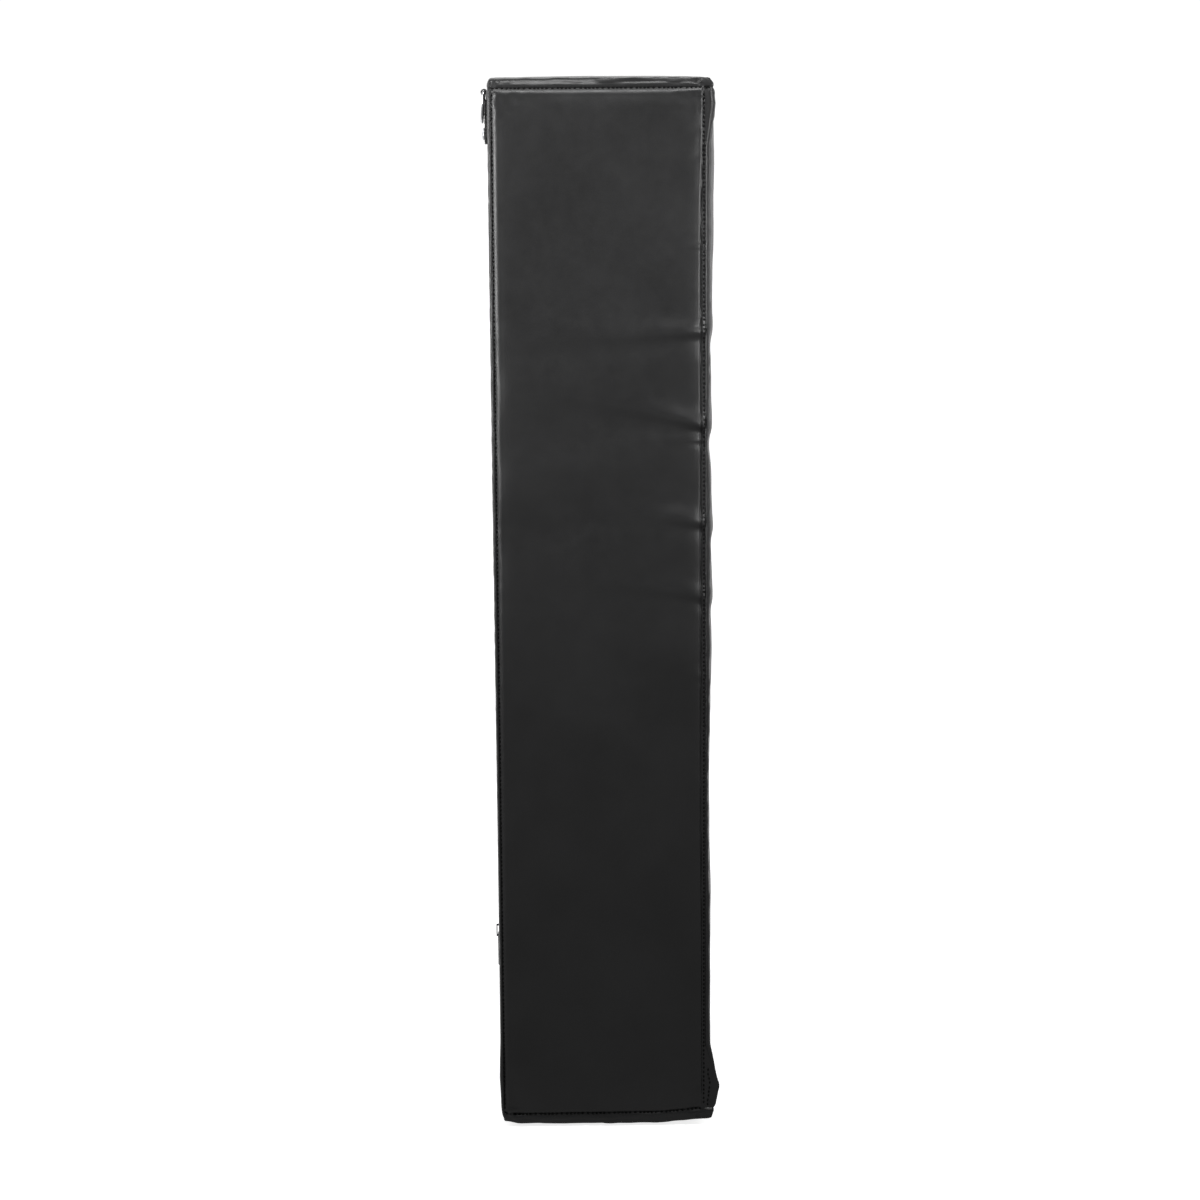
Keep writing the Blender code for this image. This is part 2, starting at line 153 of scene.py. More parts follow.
# --- The cover: one grid over a flat box, so that every point keeps its flat place ---
def lines(low, high, fixed, fine, fine_reach, coarse):
    """Grid lines from low to high: fine near both ends, coarse between, with the fixed ones."""
    near = np.arange(0, fine_reach + fine / 2, fine)
    marks = sorted({*np.round(low + near, 6), *np.round(high - near, 6), *np.round(fixed, 6)})
    kept = [marks[0]]
    for mark in marks[1:]:
        if mark - kept[-1] < fine * 0.45:
            if mark in np.round(fixed, 6):
                kept[-1] = mark
            continue
        gap = mark - kept[-1]
        if gap > coarse * 1.5:
            count = int(round(gap / coarse))
            kept += [kept[-1] + gap * k / count for k in range(1, count)]
        kept.append(mark)
    kept[0], kept[-1] = low, high
    return np.array(kept)


ZIP_EDGES = (BACK_HIGH.x, STRIP_LOW.x)
X_LINES = lines(-HALF_WIDTH, HALF_WIDTH, [BACK_LOW.x, *ZIP_EDGES], 0.0010, 0.013, 0.0075)
Y_LINES = lines(FRONT_Y, BACK_Y, [SEAM_FRONT, SEAM_BACK], 0.0007, 0.013, 0.0036)
Z_LINES = lines(-HALF_HEIGHT, HALF_HEIGHT, [SEAM_BOTTOM, SEAM_TOP], 0.0009, 0.018, 0.0026)


def flat_grid(xs, ys, zs):
    """A box's points and quads on these grid lines, each quad with the number of the side it is on."""
    points, quads, sides = [], [], []
    faces = (
        (0, xs[0], 1, ys, 2, zs, True),
        (0, xs[-1], 1, ys, 2, zs, False),
        (1, ys[0], 0, xs, 2, zs, False),
        (1, ys[-1], 0, xs, 2, zs, True),
        (2, zs[0], 0, xs, 1, ys, True),
        (2, zs[-1], 0, xs, 1, ys, False),
    )
    start = 0
    for side, (axis, place, first, us, second, vs, flip) in enumerate(faces):
        u, v = np.meshgrid(us, vs, indexing="ij")
        grid = np.empty(u.shape + (3,))
        grid[..., axis], grid[..., first], grid[..., second] = place, u, v
        points.append(grid.reshape(-1, 3))
        index = np.arange(u.size).reshape(u.shape) + start
        a, b, c, d = index[:-1, :-1], index[1:, :-1], index[1:, 1:], index[:-1, 1:]
        quad = np.stack([a, d, c, b] if flip else [a, b, c, d], axis=-1).reshape(-1, 4)
        quads.append(quad)
        sides.append(np.full(len(quad), side))
        start += u.size
    points = np.concatenate(points)
    _, first, inverse = np.unique(
        np.round(points * 1e6).astype(np.int64), axis=0, return_index=True, return_inverse=True
    )
    return points[first], inverse.reshape(-1)[np.concatenate(quads)], np.concatenate(sides)


def round_box(flat, low, high, radius):
    """Flat places on a box, moved onto the same box with rounded edges."""
    core = np.clip(flat, low + radius, high - radius)
    part = (flat - core) / radius
    length = np.linalg.norm(part, axis=1, keepdims=True)
    return core + radius * part / np.maximum(length, TINY)


def from_front(y, far, near):
    """0 further than far behind the striking face's plane, 1 nearer than near, smooth between."""
    return step_between(-y, -FRONT_Y - far, -FRONT_Y - near)


def rounded(flat):
    """The cover's rounded box: crisper at the bottom front edge, rounder at the top one."""
    _, y, z = flat.T
    back = y > MIDDLE_Y
    low_front = from_front(y, 0.040, 0.012) * step_between(-z, 0.3, 0.4)
    high_front = from_front(y, 0.030, 0.008) * step_between(z, 0.3, 0.4)
    across = np.where(back, ROUND_X_BACK, ROUND_X_FRONT)
    deep = np.where(back, ROUND_BACK, ROUND_FRONT)
    radius = np.stack([across, deep, ROUND_Z * (1 - 0.62 * low_front + 0.12 * high_front)], axis=1)
    box_low = np.array([-HALF_WIDTH, FRONT_Y, -HALF_HEIGHT])
    box_high = np.array([HALF_WIDTH, BACK_Y, HALF_HEIGHT])
    return round_box(flat, box_low, box_high, radius)


def point_normals(points, quads):
    """Each point's normal, from the quads round it."""
    across = points[quads[:, 2]] - points[quads[:, 0]]
    along = points[quads[:, 3]] - points[quads[:, 1]]
    facing = np.cross(across, along)
    total = np.zeros_like(points)
    for k in range(4):
        for axis in range(3):
            total[:, axis] += np.bincount(quads[:, k], facing[:, axis], len(points))
    return total / np.maximum(np.linalg.norm(total, axis=1, keepdims=True), TINY)


# --- What the sewing and the filling do to the surface ---
# Creases that run from the front seam across a side: how far below the top edge each starts, how
# far across it reaches, how far it rises on the way, how high it stands, how wide it is, and how
# deep the notch at its start is, cut above it where positive and below it where negative
CREASES_LEFT = (
    (0.153, 0.029, 0.000, 0.0011, 0.0034, 0.0012),
    (0.231, 0.279, -0.006, 0.0032, 0.0115, 0.0022),
    (0.320, 0.189, 0.044, 0.0040, 0.0107, -0.0016),
    (0.334, 0.038, 0.004, 0.0010, 0.0034, -0.0013),
    (0.413, 0.166, 0.034, 0.0028, 0.0100, -0.0010),
    (0.482, 0.197, 0.034, 0.0021, 0.0107, 0.0007),
    (0.560, 0.034, 0.004, 0.0006, 0.0046, 0.0000),
)
CREASES_RIGHT = (
    (0.175, 0.034, 0.002, 0.0011, 0.0034, 0.0010),
    (0.262, 0.227, 0.024, 0.0028, 0.0112, -0.0016),
    (0.348, 0.257, 0.018, 0.0035, 0.0115, 0.0019),
    (0.366, 0.039, 0.004, 0.0011, 0.0034, -0.0012),
    (0.452, 0.166, 0.030, 0.0024, 0.0100, -0.0010),
    (0.530, 0.136, 0.016, 0.0017, 0.0094, 0.0006),
)
# Where the striking face is dented at its edges, below the top edge: place, depth, half length
DENTS_LEFT = ((0.325, 0.0013, 0.030), (0.680, 0.0018, 0.055))
DENTS_RIGHT = ((0.300, 0.0016, 0.034), (0.640, 0.0015, 0.060))
# Ears at the striking face's corners: which side, the height of the tip, how far the ear reaches
# above the tip and below it, and how far it stands out
EARS = (
    (-1, -0.4676, 0.042, 0.046, 0.0116),
    (-1, 0.4770, 0.050, 0.040, 0.0060),
    (1, -0.4700, 0.038, 0.044, 0.0092),
    (1, 0.4760, 0.052, 0.036, 0.0052),
)
# Where a crease's notch is cut, above or below its start, and how wide and long it is
NOTCH_AWAY = 0.0034
NOTCH_WIDTH = 0.0021
NOTCH_REACH = 0.010


def crease(across, below, start, reach, rise, height, width, notch):
    """One crease: a fold with a gentle slope above and a steep one below, fading from the seam."""
    share = np.clip(across / reach, 0, 1)
    offset = below - start + rise * share**0.85
    fade = (1 - share) ** 1.2
    spread = width * (0.40 + 1.25 * share)
    fold = np.where(offset < 0, bump(offset, spread * 1.9), bump(offset, spread))
    trough = bump(offset - spread * 1.9, spread * 1.3)
    relief = height * fade * (fold - 0.45 * trough)
    from_notch = below - start + np.sign(notch) * NOTCH_AWAY
    return relief - abs(notch) * bump(from_notch, NOTCH_WIDTH) * bump(across, NOTCH_REACH)


def side_swell(y, z, front, back, top, bottom, sign):
    """A side panel's swelling between its seams, with broad, middling and upright unevenness."""
    rise = (
        swelling(front - BAND * 0.7, 0.0095)
        * swelling(back, 0.0062)
        * swelling(top, 0.010)
        * swelling(bottom, 0.013)
    )
    relief = -SEAM_DROP + (SEAM_DROP + PUFF_SIDE) * rise
    relief += 0.0006 * noise2(y * 11 + 3, z * 7, seed=3 + sign) * rise
    relief += 0.00022 * noise2(y * 38, z * 24, seed=9 + sign) * rise
    slanted = z + 0.25 * (y - SEAM_FRONT)
    upper = step_between(z, -0.16, 0.06)
    return relief + 0.0015 * noise1(slanted / 0.043, seed=27 + sign) * rise * upper


def side_gathers(y, z, front, upright, level, sign):
    """Puckers where the thread gathers the vinyl: near each seam, and most in the corners."""
    share = np.where(front <= upright, 1.0, 0.45)
    beside_upright = 0.00040 * noise1(z / 0.0110, seed=11 + sign) * share
    beside_upright += 0.00018 * noise1(z / 0.0066, seed=13 + sign)
    beside_level = 0.00040 * noise1(y / 0.0105, seed=17 + sign)
    beside_level += 0.00022 * noise1(y / 0.0075, seed=19 + sign)
    into = np.maximum(np.minimum(upright, level), 0)
    past_band = step_between(front, BAND * 0.7, BAND * 1.4)
    relief = np.where(upright < level, beside_upright, beside_level) * bump(into, 0.011) * past_band
    from_corner = np.hypot(np.maximum(upright, 0), np.maximum(level, 0))
    crumple = noise2(y / 0.0048, z / 0.0048, seed=23 + sign)
    return relief + 0.0011 * bump(from_corner, 0.022) * crumple


def side_relief(flat, sign):
    """How far the side panel and its band stand out, along the side's normal."""
    _, y, z = flat.T
    front, back = y - SEAM_FRONT, SEAM_BACK - y
    top, bottom = SEAM_TOP - z, z - SEAM_BOTTOM
    upright, level = np.minimum(front, back), np.minimum(top, bottom)
    relief = side_swell(y, z, front, back, top, bottom, sign)

    # the flat, topstitched band just inside the front seam, narrower towards its ends
    narrower = 0.42 * step_between(z, 0.36, 0.47) + 0.25 * step_between(-z, 0.20, 0.34)
    width = BAND * (1 - narrower)
    past_band = step_between(front, width - 0.0008, width + 0.0012)
    relief = np.where(front > 0, -BAND_DROP + (relief + BAND_DROP) * past_band, relief)
    within = step_between(top, -0.001, 0.003) * step_between(bottom, -0.001, 0.003)
    relief -= 0.0010 * bump(front - width + 0.0002, 0.0009) * within
    relief -= 0.0004 * bump(front - TOPSTITCH, 0.0008) * within

    # the rolled bands above and below the caps' seams are uneven
    outside = step_between(-level, 0.0008, 0.0026)
    relief += 0.00045 * noise2(y / 0.0060, z / 0.0042, seed=25 + sign) * outside
    relief += side_gathers(y, z, front, upright, level, sign)

    past_seam = step_between(front, -0.001, 0.004)
    for one in CREASES_LEFT if sign < 0 else CREASES_RIGHT:
        relief += crease(np.maximum(front - 0.003, 0), HALF_HEIGHT - z, *one) * past_seam
    # fine puckers along the top of the front seam
    fine = 0.00055 * bump(front - 0.008, 0.010) * step_between(z, 0.27, 0.40)
    return relief + fine * noise1(z / 0.0085 + front / 0.02, seed=29 + sign)


def seam_valley(distance):
    """The shape across a sewn line: a narrow groove between two soft rolls."""
    groove = -GROOVE * bump(distance, GROOVE_WIDTH)
    return groove + LIP * bump(np.abs(distance) - LIP_AWAY, LIP_WIDTH)


def front_relief(flat):
    """The striking face: crowned, dented at its edges, with the sides' creases running on."""
    x, _, z = flat.T
    u, v = x / HALF_WIDTH, z / HALF_HEIGHT
    edge = HALF_WIDTH - np.abs(x)
    end = HALF_HEIGHT - np.abs(z)
    steep = 0.0145 * (1 + 0.15 * noise1(z / 0.04, seed=35) + 0.10 * noise1(z / 0.013, seed=36))
    crown = (1 - np.exp(-edge / steep)) * (1 - np.exp(-end / 0.011)) * (1 - 0.12 * u**2 * v**2)
    fuller = 1 + 0.36 * step_between(z, 0.26, 0.37)
    relief = CROWN * crown * fuller + 0.0009 * noise2(x * 9, z * 7, seed=31) * crown
    relief += 0.0003 * noise2(x * 30, z * 26, seed=33)
    below = HALF_HEIGHT - z
    for sign, creases, dents in ((-1, CREASES_LEFT, DENTS_LEFT), (1, CREASES_RIGHT, DENTS_RIGHT)):
        across = HALF_WIDTH - sign * x
        past_edge = step_between(across, -0.002, 0.012)
        for start, reach, rise, height, width, _ in creases:
            wander = 0.006 * noise1(x / 0.05, seed=int(start * 1000))
            softer = (start, reach * 1.5, -rise * 0.3, height * 0.6, width * 1.7, 0)
            relief += crease(across, below + wander, *softer) * past_edge
        for place, depth, half in dents:
            relief -= depth * bump(below - place, half) * bump(across, 0.085)
    gathers = 0.0005 * noise1(z / 0.0075, seed=37) * bump(edge - 0.006, 0.010)
    gathers += 0.0006 * noise1(x / 0.0085, seed=41) * bump(end - 0.012, 0.011)
    return relief + gathers * step_between(edge, 0, 0.004)


def end_relief(flat, sign):
    """The top and bottom caps, which swell between their seams."""
    x, y, _ = flat.T
    u = x / HALF_WIDTH
    v = (y - MIDDLE_Y) / ((BACK_Y - FRONT_Y) / 2)
    swell = np.sqrt(np.clip(1 - u**6, 0, 1)) * np.sqrt(np.clip(1 - np.abs(v) ** 3, 0, 1))
    relief = (PUFF_BOTTOM if sign < 0 else PUFF_TOP) * swell
    relief += 0.0006 * noise2(x * 14, y * 22, seed=43 + sign) * swell
    edge = np.minimum(HALF_WIDTH - np.abs(x), np.minimum(y - FRONT_Y, BACK_Y - y))
    gathers = 0.0005 * noise2(x / 0.009, y / 0.009, seed=47 + sign)
    return relief + gathers * bump(edge - 0.006, 0.010)


def back_relief(flat):
    """The back lies flat on its board, with only its hems and slight unevenness."""
    x, _, z = flat.T
    edge = np.minimum(HALF_WIDTH - np.abs(x), HALF_HEIGHT - np.abs(z))
    uneven = -0.00035 * (1 + noise2(x * 12, z * 9, seed=51)) * step_between(edge, 0.004, 0.02)
    return uneven - 0.0002 * (1 + noise1(z / 0.006, seed=53)) * bump(edge - 0.006, 0.008)


def sewn_lines(flat):
    """The two caps' seams, and the four upright seams."""
    x, y, z = flat.T
    on_wall = np.abs(z) < HALF_HEIGHT - ON_FACE
    soften = np.where(y > BACK_Y - ON_FACE, 0.35, 1.0)
    lift = np.zeros(len(flat))
    for seam in (SEAM_TOP, SEAM_BOTTOM):
        lift += np.where(on_wall, seam_valley(z - seam) * soften, 0)
    on_side = np.abs(x) > HALF_WIDTH - ON_FACE
    between = (z < SEAM_TOP + 0.001) & (z > SEAM_BOTTOM - 0.001)
    for seam in (SEAM_FRONT, SEAM_BACK):
        lift += np.where(on_side & between, seam_valley(y - seam), 0)
    return lift


def edges_relief(flat, faces_back):
    """The rolled edge of the striking face, and the back's edges: drawn in, with a slight bulge."""
    x, y, z = flat.T
    edge = HALF_WIDTH - np.abs(x)
    on_side = np.abs(x) > HALF_WIDTH - ON_FACE
    along = np.where(on_side, SEAM_FRONT - y, SEAM_FRONT - FRONT_Y + edge)
    uneven = 1 + 0.22 * noise1(z / 0.035, seed=61) + 0.16 * noise1(z / 0.012, seed=63)
    roll = step_between(along, 0.0, 0.0020) * bump(np.maximum(along - 0.0030, 0), 0.0060)
    lift = np.where(on_side | (y < FRONT_Y + ON_FACE), ROLL * roll * uneven, 0)
    pulled = bump(np.maximum(edge - 0.003, 0), 0.010) * faces_back * step_between(-z, -0.2, 0.35)
    lift -= np.where((y > SEAM_BACK) & (edge < 0.03), 0.0009 * pulled, 0)
    bulge = bump(z - BACK_BULGE_Z, BACK_BULGE_REACH) * bump(edge, BACK_BULGE_REACH)
    return lift + np.where(y > SEAM_BACK + 0.001, BACK_BULGE * bulge, 0)


def settle(points, flat):
    """The bottom back corners are cut and drawn in by the thread, and the filling settles."""
    x, y, z = flat.T
    low = np.clip((CORNER_CUT - HALF_HEIGHT - z) / CORNER_CUT, 0, 1)
    behind = np.clip(1 - (BACK_Y - y) / CORNER_CUT, 0, 1)
    near = low * behind * bump(HALF_WIDTH - np.abs(x), 0.030)
    points[:, 2] += CORNER_LIFT * near
    points[:, 1] -= CORNER_DRAW * near
    # the bottom sags least at the striking face
    settled = step_between(-z, 0.425, 0.489) * (1 - 0.55 * step_between(-y, 0.145, 0.203))
    points[:, 2] -= BOTTOM_SAG * settled


def add_ears(points, flat):
    """Ears of spare vinyl at the striking face's corners, each with a fold across it."""
    x, y, z = flat.T
    frontness = step_between(-y, -(SEAM_FRONT + 0.0015), -(FRONT_Y + 0.0012))
    fold = bump(frontness - 0.22, 0.16) + 0.6 * bump(frontness - 0.92, 0.10)
    for sign, tip, above, below, out in EARS:
        rise = np.clip(np.where(z < tip, 1 - (tip - z) / below, 1 - (z - tip) / above), 0, 1)
        ear = rise * bump(HALF_WIDTH - np.abs(x), 0.009) * (np.sign(x) == sign)
        points[:, 1] -= out * ear * frontness
        points[:, 0] += sign * ear * (0.16 * out * fold - 0.0015 * frontness)


def shaped(flat, quads):
    """The cover's surface: the rounded box, swollen, sewn, creased and gathered."""
    base = rounded(flat)
    normal = point_normals(base, quads)

    def facing(axis, sign):
        """How much the surface still faces that way, which fades each face's relief at its edges."""
        return np.clip(normal[:, axis] * sign, 0, 1) ** 1.5

    lift = facing(1, -1) * front_relief(flat) + facing(1, 1) * back_relief(flat)
    for sign in (-1, 1):
        lift += facing(0, sign) * side_relief(flat, sign) + facing(2, sign) * end_relief(flat, sign)
    lift += sewn_lines(flat) + edges_relief(flat, np.clip(normal[:, 1], 0, 1))
    points = base + normal * lift[:, None]
    settle(points, flat)
    add_ears(points, flat)
    return points


def panel_of(flat, quads, sides):
    """The name of the panel each quad belongs to."""
    middle = flat[quads].mean(axis=1)
    x, y, z = middle.T
    names = np.full(len(quads), "front_panel", dtype=object)
    names[(sides == 0) & (y > SEAM_FRONT) & (y < SEAM_BACK)] = "side_panel_left"
    names[(sides == 1) & (y > SEAM_FRONT) & (y < SEAM_BACK)] = "side_panel_right"
    behind = (sides == 3) | ((sides < 2) & (y > SEAM_BACK))
    names[behind & (x < BACK_LOW.x)] = "back_strip_left"
    names[behind & (x > BACK_LOW.x) & (x < ZIP_EDGES[0])] = "back_middle_panel"
    names[behind & (x > ZIP_EDGES[0]) & (x < ZIP_EDGES[1])] = "none"
    names[behind & (x > ZIP_EDGES[1])] = "back_strip_right"
    names[z > SEAM_TOP] = "top_panel"
    names[z < SEAM_BOTTOM] = "bottom_panel"
    return names


# --- Materials ---
def node(tree, kind, **inputs):
    """A shader node with these values; an underscore stands for a space in an input's name."""
    made = tree.nodes.new("ShaderNode" + kind)
    for name, value in inputs.items():
        made.inputs[name.replace("_", " ")].default_value = value
    return made


def feed(tree, source, target, socket):
    """Links a socket into another node, and returns that node."""
    tree.links.new(source, target.inputs[socket])
    return target


def new_material(name, **values):
    """A material with one shader, the values that are the same all over it, and its coordinates.

    On these pieces the object coordinates are metres in the frame.
    """
    material = bpy.data.materials.new(name)
    material.use_nodes = True
    tree = material.node_tree
    tree.nodes.clear()
    output = tree.nodes.new("ShaderNodeOutputMaterial")
    shader = node(tree, "BsdfPrincipled", **values)
    feed(tree, shader.outputs["BSDF"], output, "Surface")
    return material, tree, shader, node(tree, "TexCoord").outputs["Object"]


def ramp(tree, source, low, high, at_low=0.3, at_high=0.7):
    made = node(tree, "ValToRGB")
    for end, colour, place in zip(made.color_ramp.elements, (low, high), (at_low, at_high)):
        end.position = place
        end.color = (*colour, 1)
    return feed(tree, source, made, "Fac").outputs["Color"]


def map_range(tree, source, from_low, from_high, to_low, to_high):
    made = node(tree, "MapRange", From_Min=from_low, From_Max=from_high, To_Min=to_low, To_Max=to_high)
    return feed(tree, source, made, "Value")


def noise_of(tree, coordinates, scale, detail=2.0, roughness=0.5):
    made = node(tree, "TexNoise", Scale=scale, Detail=detail, Roughness=roughness)
    return feed(tree, coordinates, made, "Vector").outputs["Fac"]


def stretched(tree, coordinates, scale):
    made = node(tree, "Mapping", Scale=scale)
    return feed(tree, coordinates, made, "Vector").outputs["Vector"]


def bump_of(tree, height, strength, distance, normal=None):
    made = feed(tree, height, node(tree, "Bump", Strength=strength, Distance=distance), "Height")
    if normal is not None:
        feed(tree, normal, made, "Normal")
    return made.outputs["Normal"]


def scaled(colour, factor):
    return tuple(c * factor for c in colour)


def vinyl(name, colour, grain, roughness):
    """Coated vinyl: fine leather grain, pores, faint scuffs and uneven sheen."""
    material, tree, shader, place = new_material(name, Specular_IOR_Level=0.5)
    cells = feed(tree, place, node(tree, "TexVoronoi", Scale=900.0), "Vector")
    cells.feature = "DISTANCE_TO_EDGE"
    soft = noise_of(tree, place, 620.0, 3.0)
    broad = noise_of(tree, place, 14.0, 3.0)
    scuffs = noise_of(tree, place, 70.0, 6.0, 0.65)
    feed(tree, ramp(tree, broad, scaled(colour, 0.82), scaled(colour, 1.25)), shader, "Base Color")
    gloss = map_range(tree, scuffs, 0.3, 0.7, roughness - 0.035, roughness + 0.045)
    feed(tree, gloss.outputs["Result"], shader, "Roughness")
    first = bump_of(tree, cells.outputs["Distance"], grain, 0.0006)
    feed(tree, bump_of(tree, soft, grain * 0.8, 0.0004, first), shader, "Normal")
    return material


def thread_material(name, colour):
    """Twisted thread, nearly matt."""
    material, tree, shader, place = new_material(name, Roughness=0.85, Specular_IOR_Level=0.15)
    fibres = noise_of(tree, place, 2600.0, 2.0)
    feed(tree, ramp(tree, fibres, colour, scaled(colour, 1.6)), shader, "Base Color")
    feed(tree, bump_of(tree, fibres, 0.5, 0.0002), shader, "Normal")
    return material


def foam(name, colour, cell):
    """Open foam, with its cells to a metre."""
    material, tree, shader, place = new_material(name, Roughness=0.92)
    pores = feed(tree, place, node(tree, "TexVoronoi", Scale=cell), "Vector")
    broad = noise_of(tree, place, 22.0, 3.0)
    feed(tree, ramp(tree, broad, scaled(colour, 0.8), colour), shader, "Base Color")
    feed(tree, bump_of(tree, pores.outputs["Distance"], 0.5, 0.0008), shader, "Normal")
    return material


def wood(name):
    """Plywood: long grain on its faces, thin plies at its edges."""
    material, tree, shader, place = new_material(name, Roughness=0.62)
    grain = noise_of(tree, stretched(tree, place, (60.0, 300.0, 4.0)), 1.0, 5.0, 0.6)
    feed(tree, ramp(tree, grain, (0.36, 0.22, 0.11), (0.62, 0.45, 0.27)), shader, "Base Color")
    feed(tree, bump_of(tree, grain, 0.25, 0.0003), shader, "Normal")
    return material


def metal(name, colour, roughness, scratch, metallic=1.0):
    """Plated or painted metal with fine scratches and a cloudy sheen."""
    material, tree, shader, place = new_material(name, Metallic=metallic)
    scratches = noise_of(tree, stretched(tree, place, (900.0, 900.0, 160.0)), 1.0, 4.0, 0.6)
    cloud = noise_of(tree, place, 160.0, 3.0)
    feed(tree, ramp(tree, cloud, scaled(colour, 0.78), colour), shader, "Base Color")
    gloss = map_range(tree, cloud, 0.0, 1.0, roughness, roughness + 0.16)
    feed(tree, gloss.outputs["Result"], shader, "Roughness")
    feed(tree, bump_of(tree, scratches, scratch, 0.0001), shader, "Normal")
    return material


def woven(name, colour, pitch_x, pitch_z, depth):
    """Woven polyester: crossing ribs, with painted shade in the hollows between them and a painted
    highlight on their tops.
    """
    material, tree, shader, place = new_material(
        name, Roughness=0.78, Sheen_Weight=0.25, Sheen_Roughness=0.5
    )
    cross = node(tree, "Math")
    cross.operation = "MULTIPLY"
    for socket, (direction, pitch) in enumerate((("X", pitch_x), ("Z", pitch_z))):
        wave = node(tree, "TexWave", Scale=math.pi / 10 / pitch, Distortion=0.6, Detail=1.0)
        wave.wave_type = "BANDS"
        wave.bands_direction = direction
        feed(tree, feed(tree, place, wave, "Vector").outputs["Fac"], cross, socket)
    ribs = cross.outputs["Value"]
    # the colour follows the ribs' height: painted shade in the hollows, a painted highlight on the
    # tops
    painted_hollow_shade, light = scaled(colour, 0.45), scaled(colour, 1.5)
    feed(tree, ramp(tree, ribs, painted_hollow_shade, light, 0.05, 0.85), shader, "Base Color")
    fibre = noise_of(tree, place, 1500.0, 3.0)
    first = bump_of(tree, ribs, 0.8, depth)
    feed(tree, bump_of(tree, fibre, 0.35, 0.0001, first), shader, "Normal")
    return material


SMOOTH_VINYL = (0.0125, 0.0125, 0.0128)
GRAINED_VINYL = (0.0145, 0.0145, 0.0150)
vinyl_smooth = vinyl("vinyl_smooth", SMOOTH_VINYL, 0.10, 0.43)
vinyl_grained = vinyl("vinyl_grained", GRAINED_VINYL, 0.34, 0.47)
vinyl_back = vinyl("vinyl_back", GRAINED_VINYL, 0.24, 0.52)
thread_black = thread_material("thread_black", (0.0035, 0.0035, 0.0036))
webbing_black = woven("webbing_black", (0.022, 0.022, 0.023), 0.0016, 0.0011, 0.0003)
tape_black = woven("tape_black", (0.016, 0.016, 0.017), 0.0007, 0.0009, 0.00015)
ring_chrome = metal("ring_chrome", (0.66, 0.67, 0.68), 0.16, 0.12)
zinc = metal("zinc_plate", (0.60, 0.61, 0.63), 0.30, 0.30)
black_metal = metal("black_paint", (0.035, 0.035, 0.037), 0.34, 0.20, 0.35)
tooth_plastic = metal("tooth_plastic", (0.026, 0.026, 0.027), 0.36, 0.10, 0.0)


# --- Building meshes ---
def mesh_object(name, points, faces, material, sharp=40):
    """A smooth-shaded object whose edges over the sharp angle, in degrees, stay crisp."""
    data = bpy.data.meshes.new(name)
    if isinstance(faces, np.ndarray):
        faces = faces.tolist()
    data.from_pydata(np.asarray(points).tolist(), [], faces)
    data.validate()
    data.shade_smooth()
    data.set_sharp_from_angle(angle=math.radians(sharp))
    data.materials.append(material)
    made = bpy.data.objects.new(name, data)
    bpy.context.scene.collection.objects.link(made)
    return made


def painted(cad_node, material):
    """A node of the frame, given a material in place of its own."""
    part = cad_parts[cad_node]
    part.data.materials.clear()
    part.data.materials.append(material)
    return part


def consistent(piece):
    """Turns a closed piece's faces to point outwards."""
    bm = bmesh.new()
    bm.from_mesh(piece.data)
    bmesh.ops.recalc_face_normals(bm, faces=bm.faces)
    bm.to_mesh(piece.data)
    bm.free()


def closed_sheet(outer, inner, quads):
    """A sheet's two faces, joined round its rim into one closed body."""
    count = len(outer)
    edges = np.concatenate([quads[:, [k, (k + 1) % 4]] for k in range(4)])
    keys = edges[:, 0] * count + edges[:, 1]
    rim = edges[~np.isin(keys, edges[:, 1] * count + edges[:, 0])]
    walls = np.stack([rim[:, 1], rim[:, 0], rim[:, 0] + count, rim[:, 1] + count], axis=1)
    return np.concatenate([outer, inner]), np.concatenate([quads, quads[:, ::-1] + count, walls])


def shell(points, normals, quads, thickness):
    """An open sheet given thickness inwards, as one closed body."""
    used, index = np.unique(quads, return_inverse=True)
    outer = points[used]
    return closed_sheet(outer, outer - normals[used] * thickness, index.reshape(-1, 4))


def ring_faces(count, rings, start=0):
    """Quads between each ring of count points and the next."""
    faces = []
    for low in range(start, start + (rings - 1) * count, count):
        for k in range(count):
            n = (k + 1) % count
            faces.append([low + k, low + n, low + count + n, low + count + k])
    return faces


def capped_faces(count, rings, start=0):
    """The same, closed with a flat cap at each end."""
    last = start + (rings - 1) * count
    caps = [[start + k for k in range(count)][::-1], [last + k for k in range(count)]]
    return ring_faces(count, rings, start) + caps


def turns(sides):
    """The angles of this many even steps round a circle."""
    return [2 * math.pi * k / sides for k in range(sides)]


PANEL_LOOK = {
    "front_panel": (vinyl_grained, "grained_vinyl"),
    "side_panel_left": (vinyl_smooth, "smooth_vinyl"),
    "side_panel_right": (vinyl_smooth, "smooth_vinyl"),
    "top_panel": (vinyl_smooth, "smooth_vinyl"),
    "bottom_panel": (vinyl_smooth, "smooth_vinyl"),
    "back_middle_panel": (vinyl_back, "grained_vinyl"),
    "back_strip_left": (vinyl_smooth, "smooth_vinyl"),
    "back_strip_right": (vinyl_smooth, "smooth_vinyl"),
}


def make_cover():
    """The cover, as one closed piece for each of its panels."""
    flat, quads, sides = flat_grid(X_LINES, Y_LINES, Z_LINES)
    points = shaped(flat, quads)
    normals = point_normals(points, quads)
    names = panel_of(flat, quads, sides)
    for panel, (material, slot) in PANEL_LOOK.items():
        body, faces = shell(points, normals, quads[names == panel], VINYL)
        piece = mesh_object(panel + "_cover", body, faces, material, sharp=50)
        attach(piece, "pad")
        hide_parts(panel)
    return flat, points, quads


flat_points, cover_points, cover_quads = make_cover()


# --- The filling: foam blocks with softened edges, and the board ---
FOAM_INSET = np.array((0.0060, 0.0006, 0.0066))
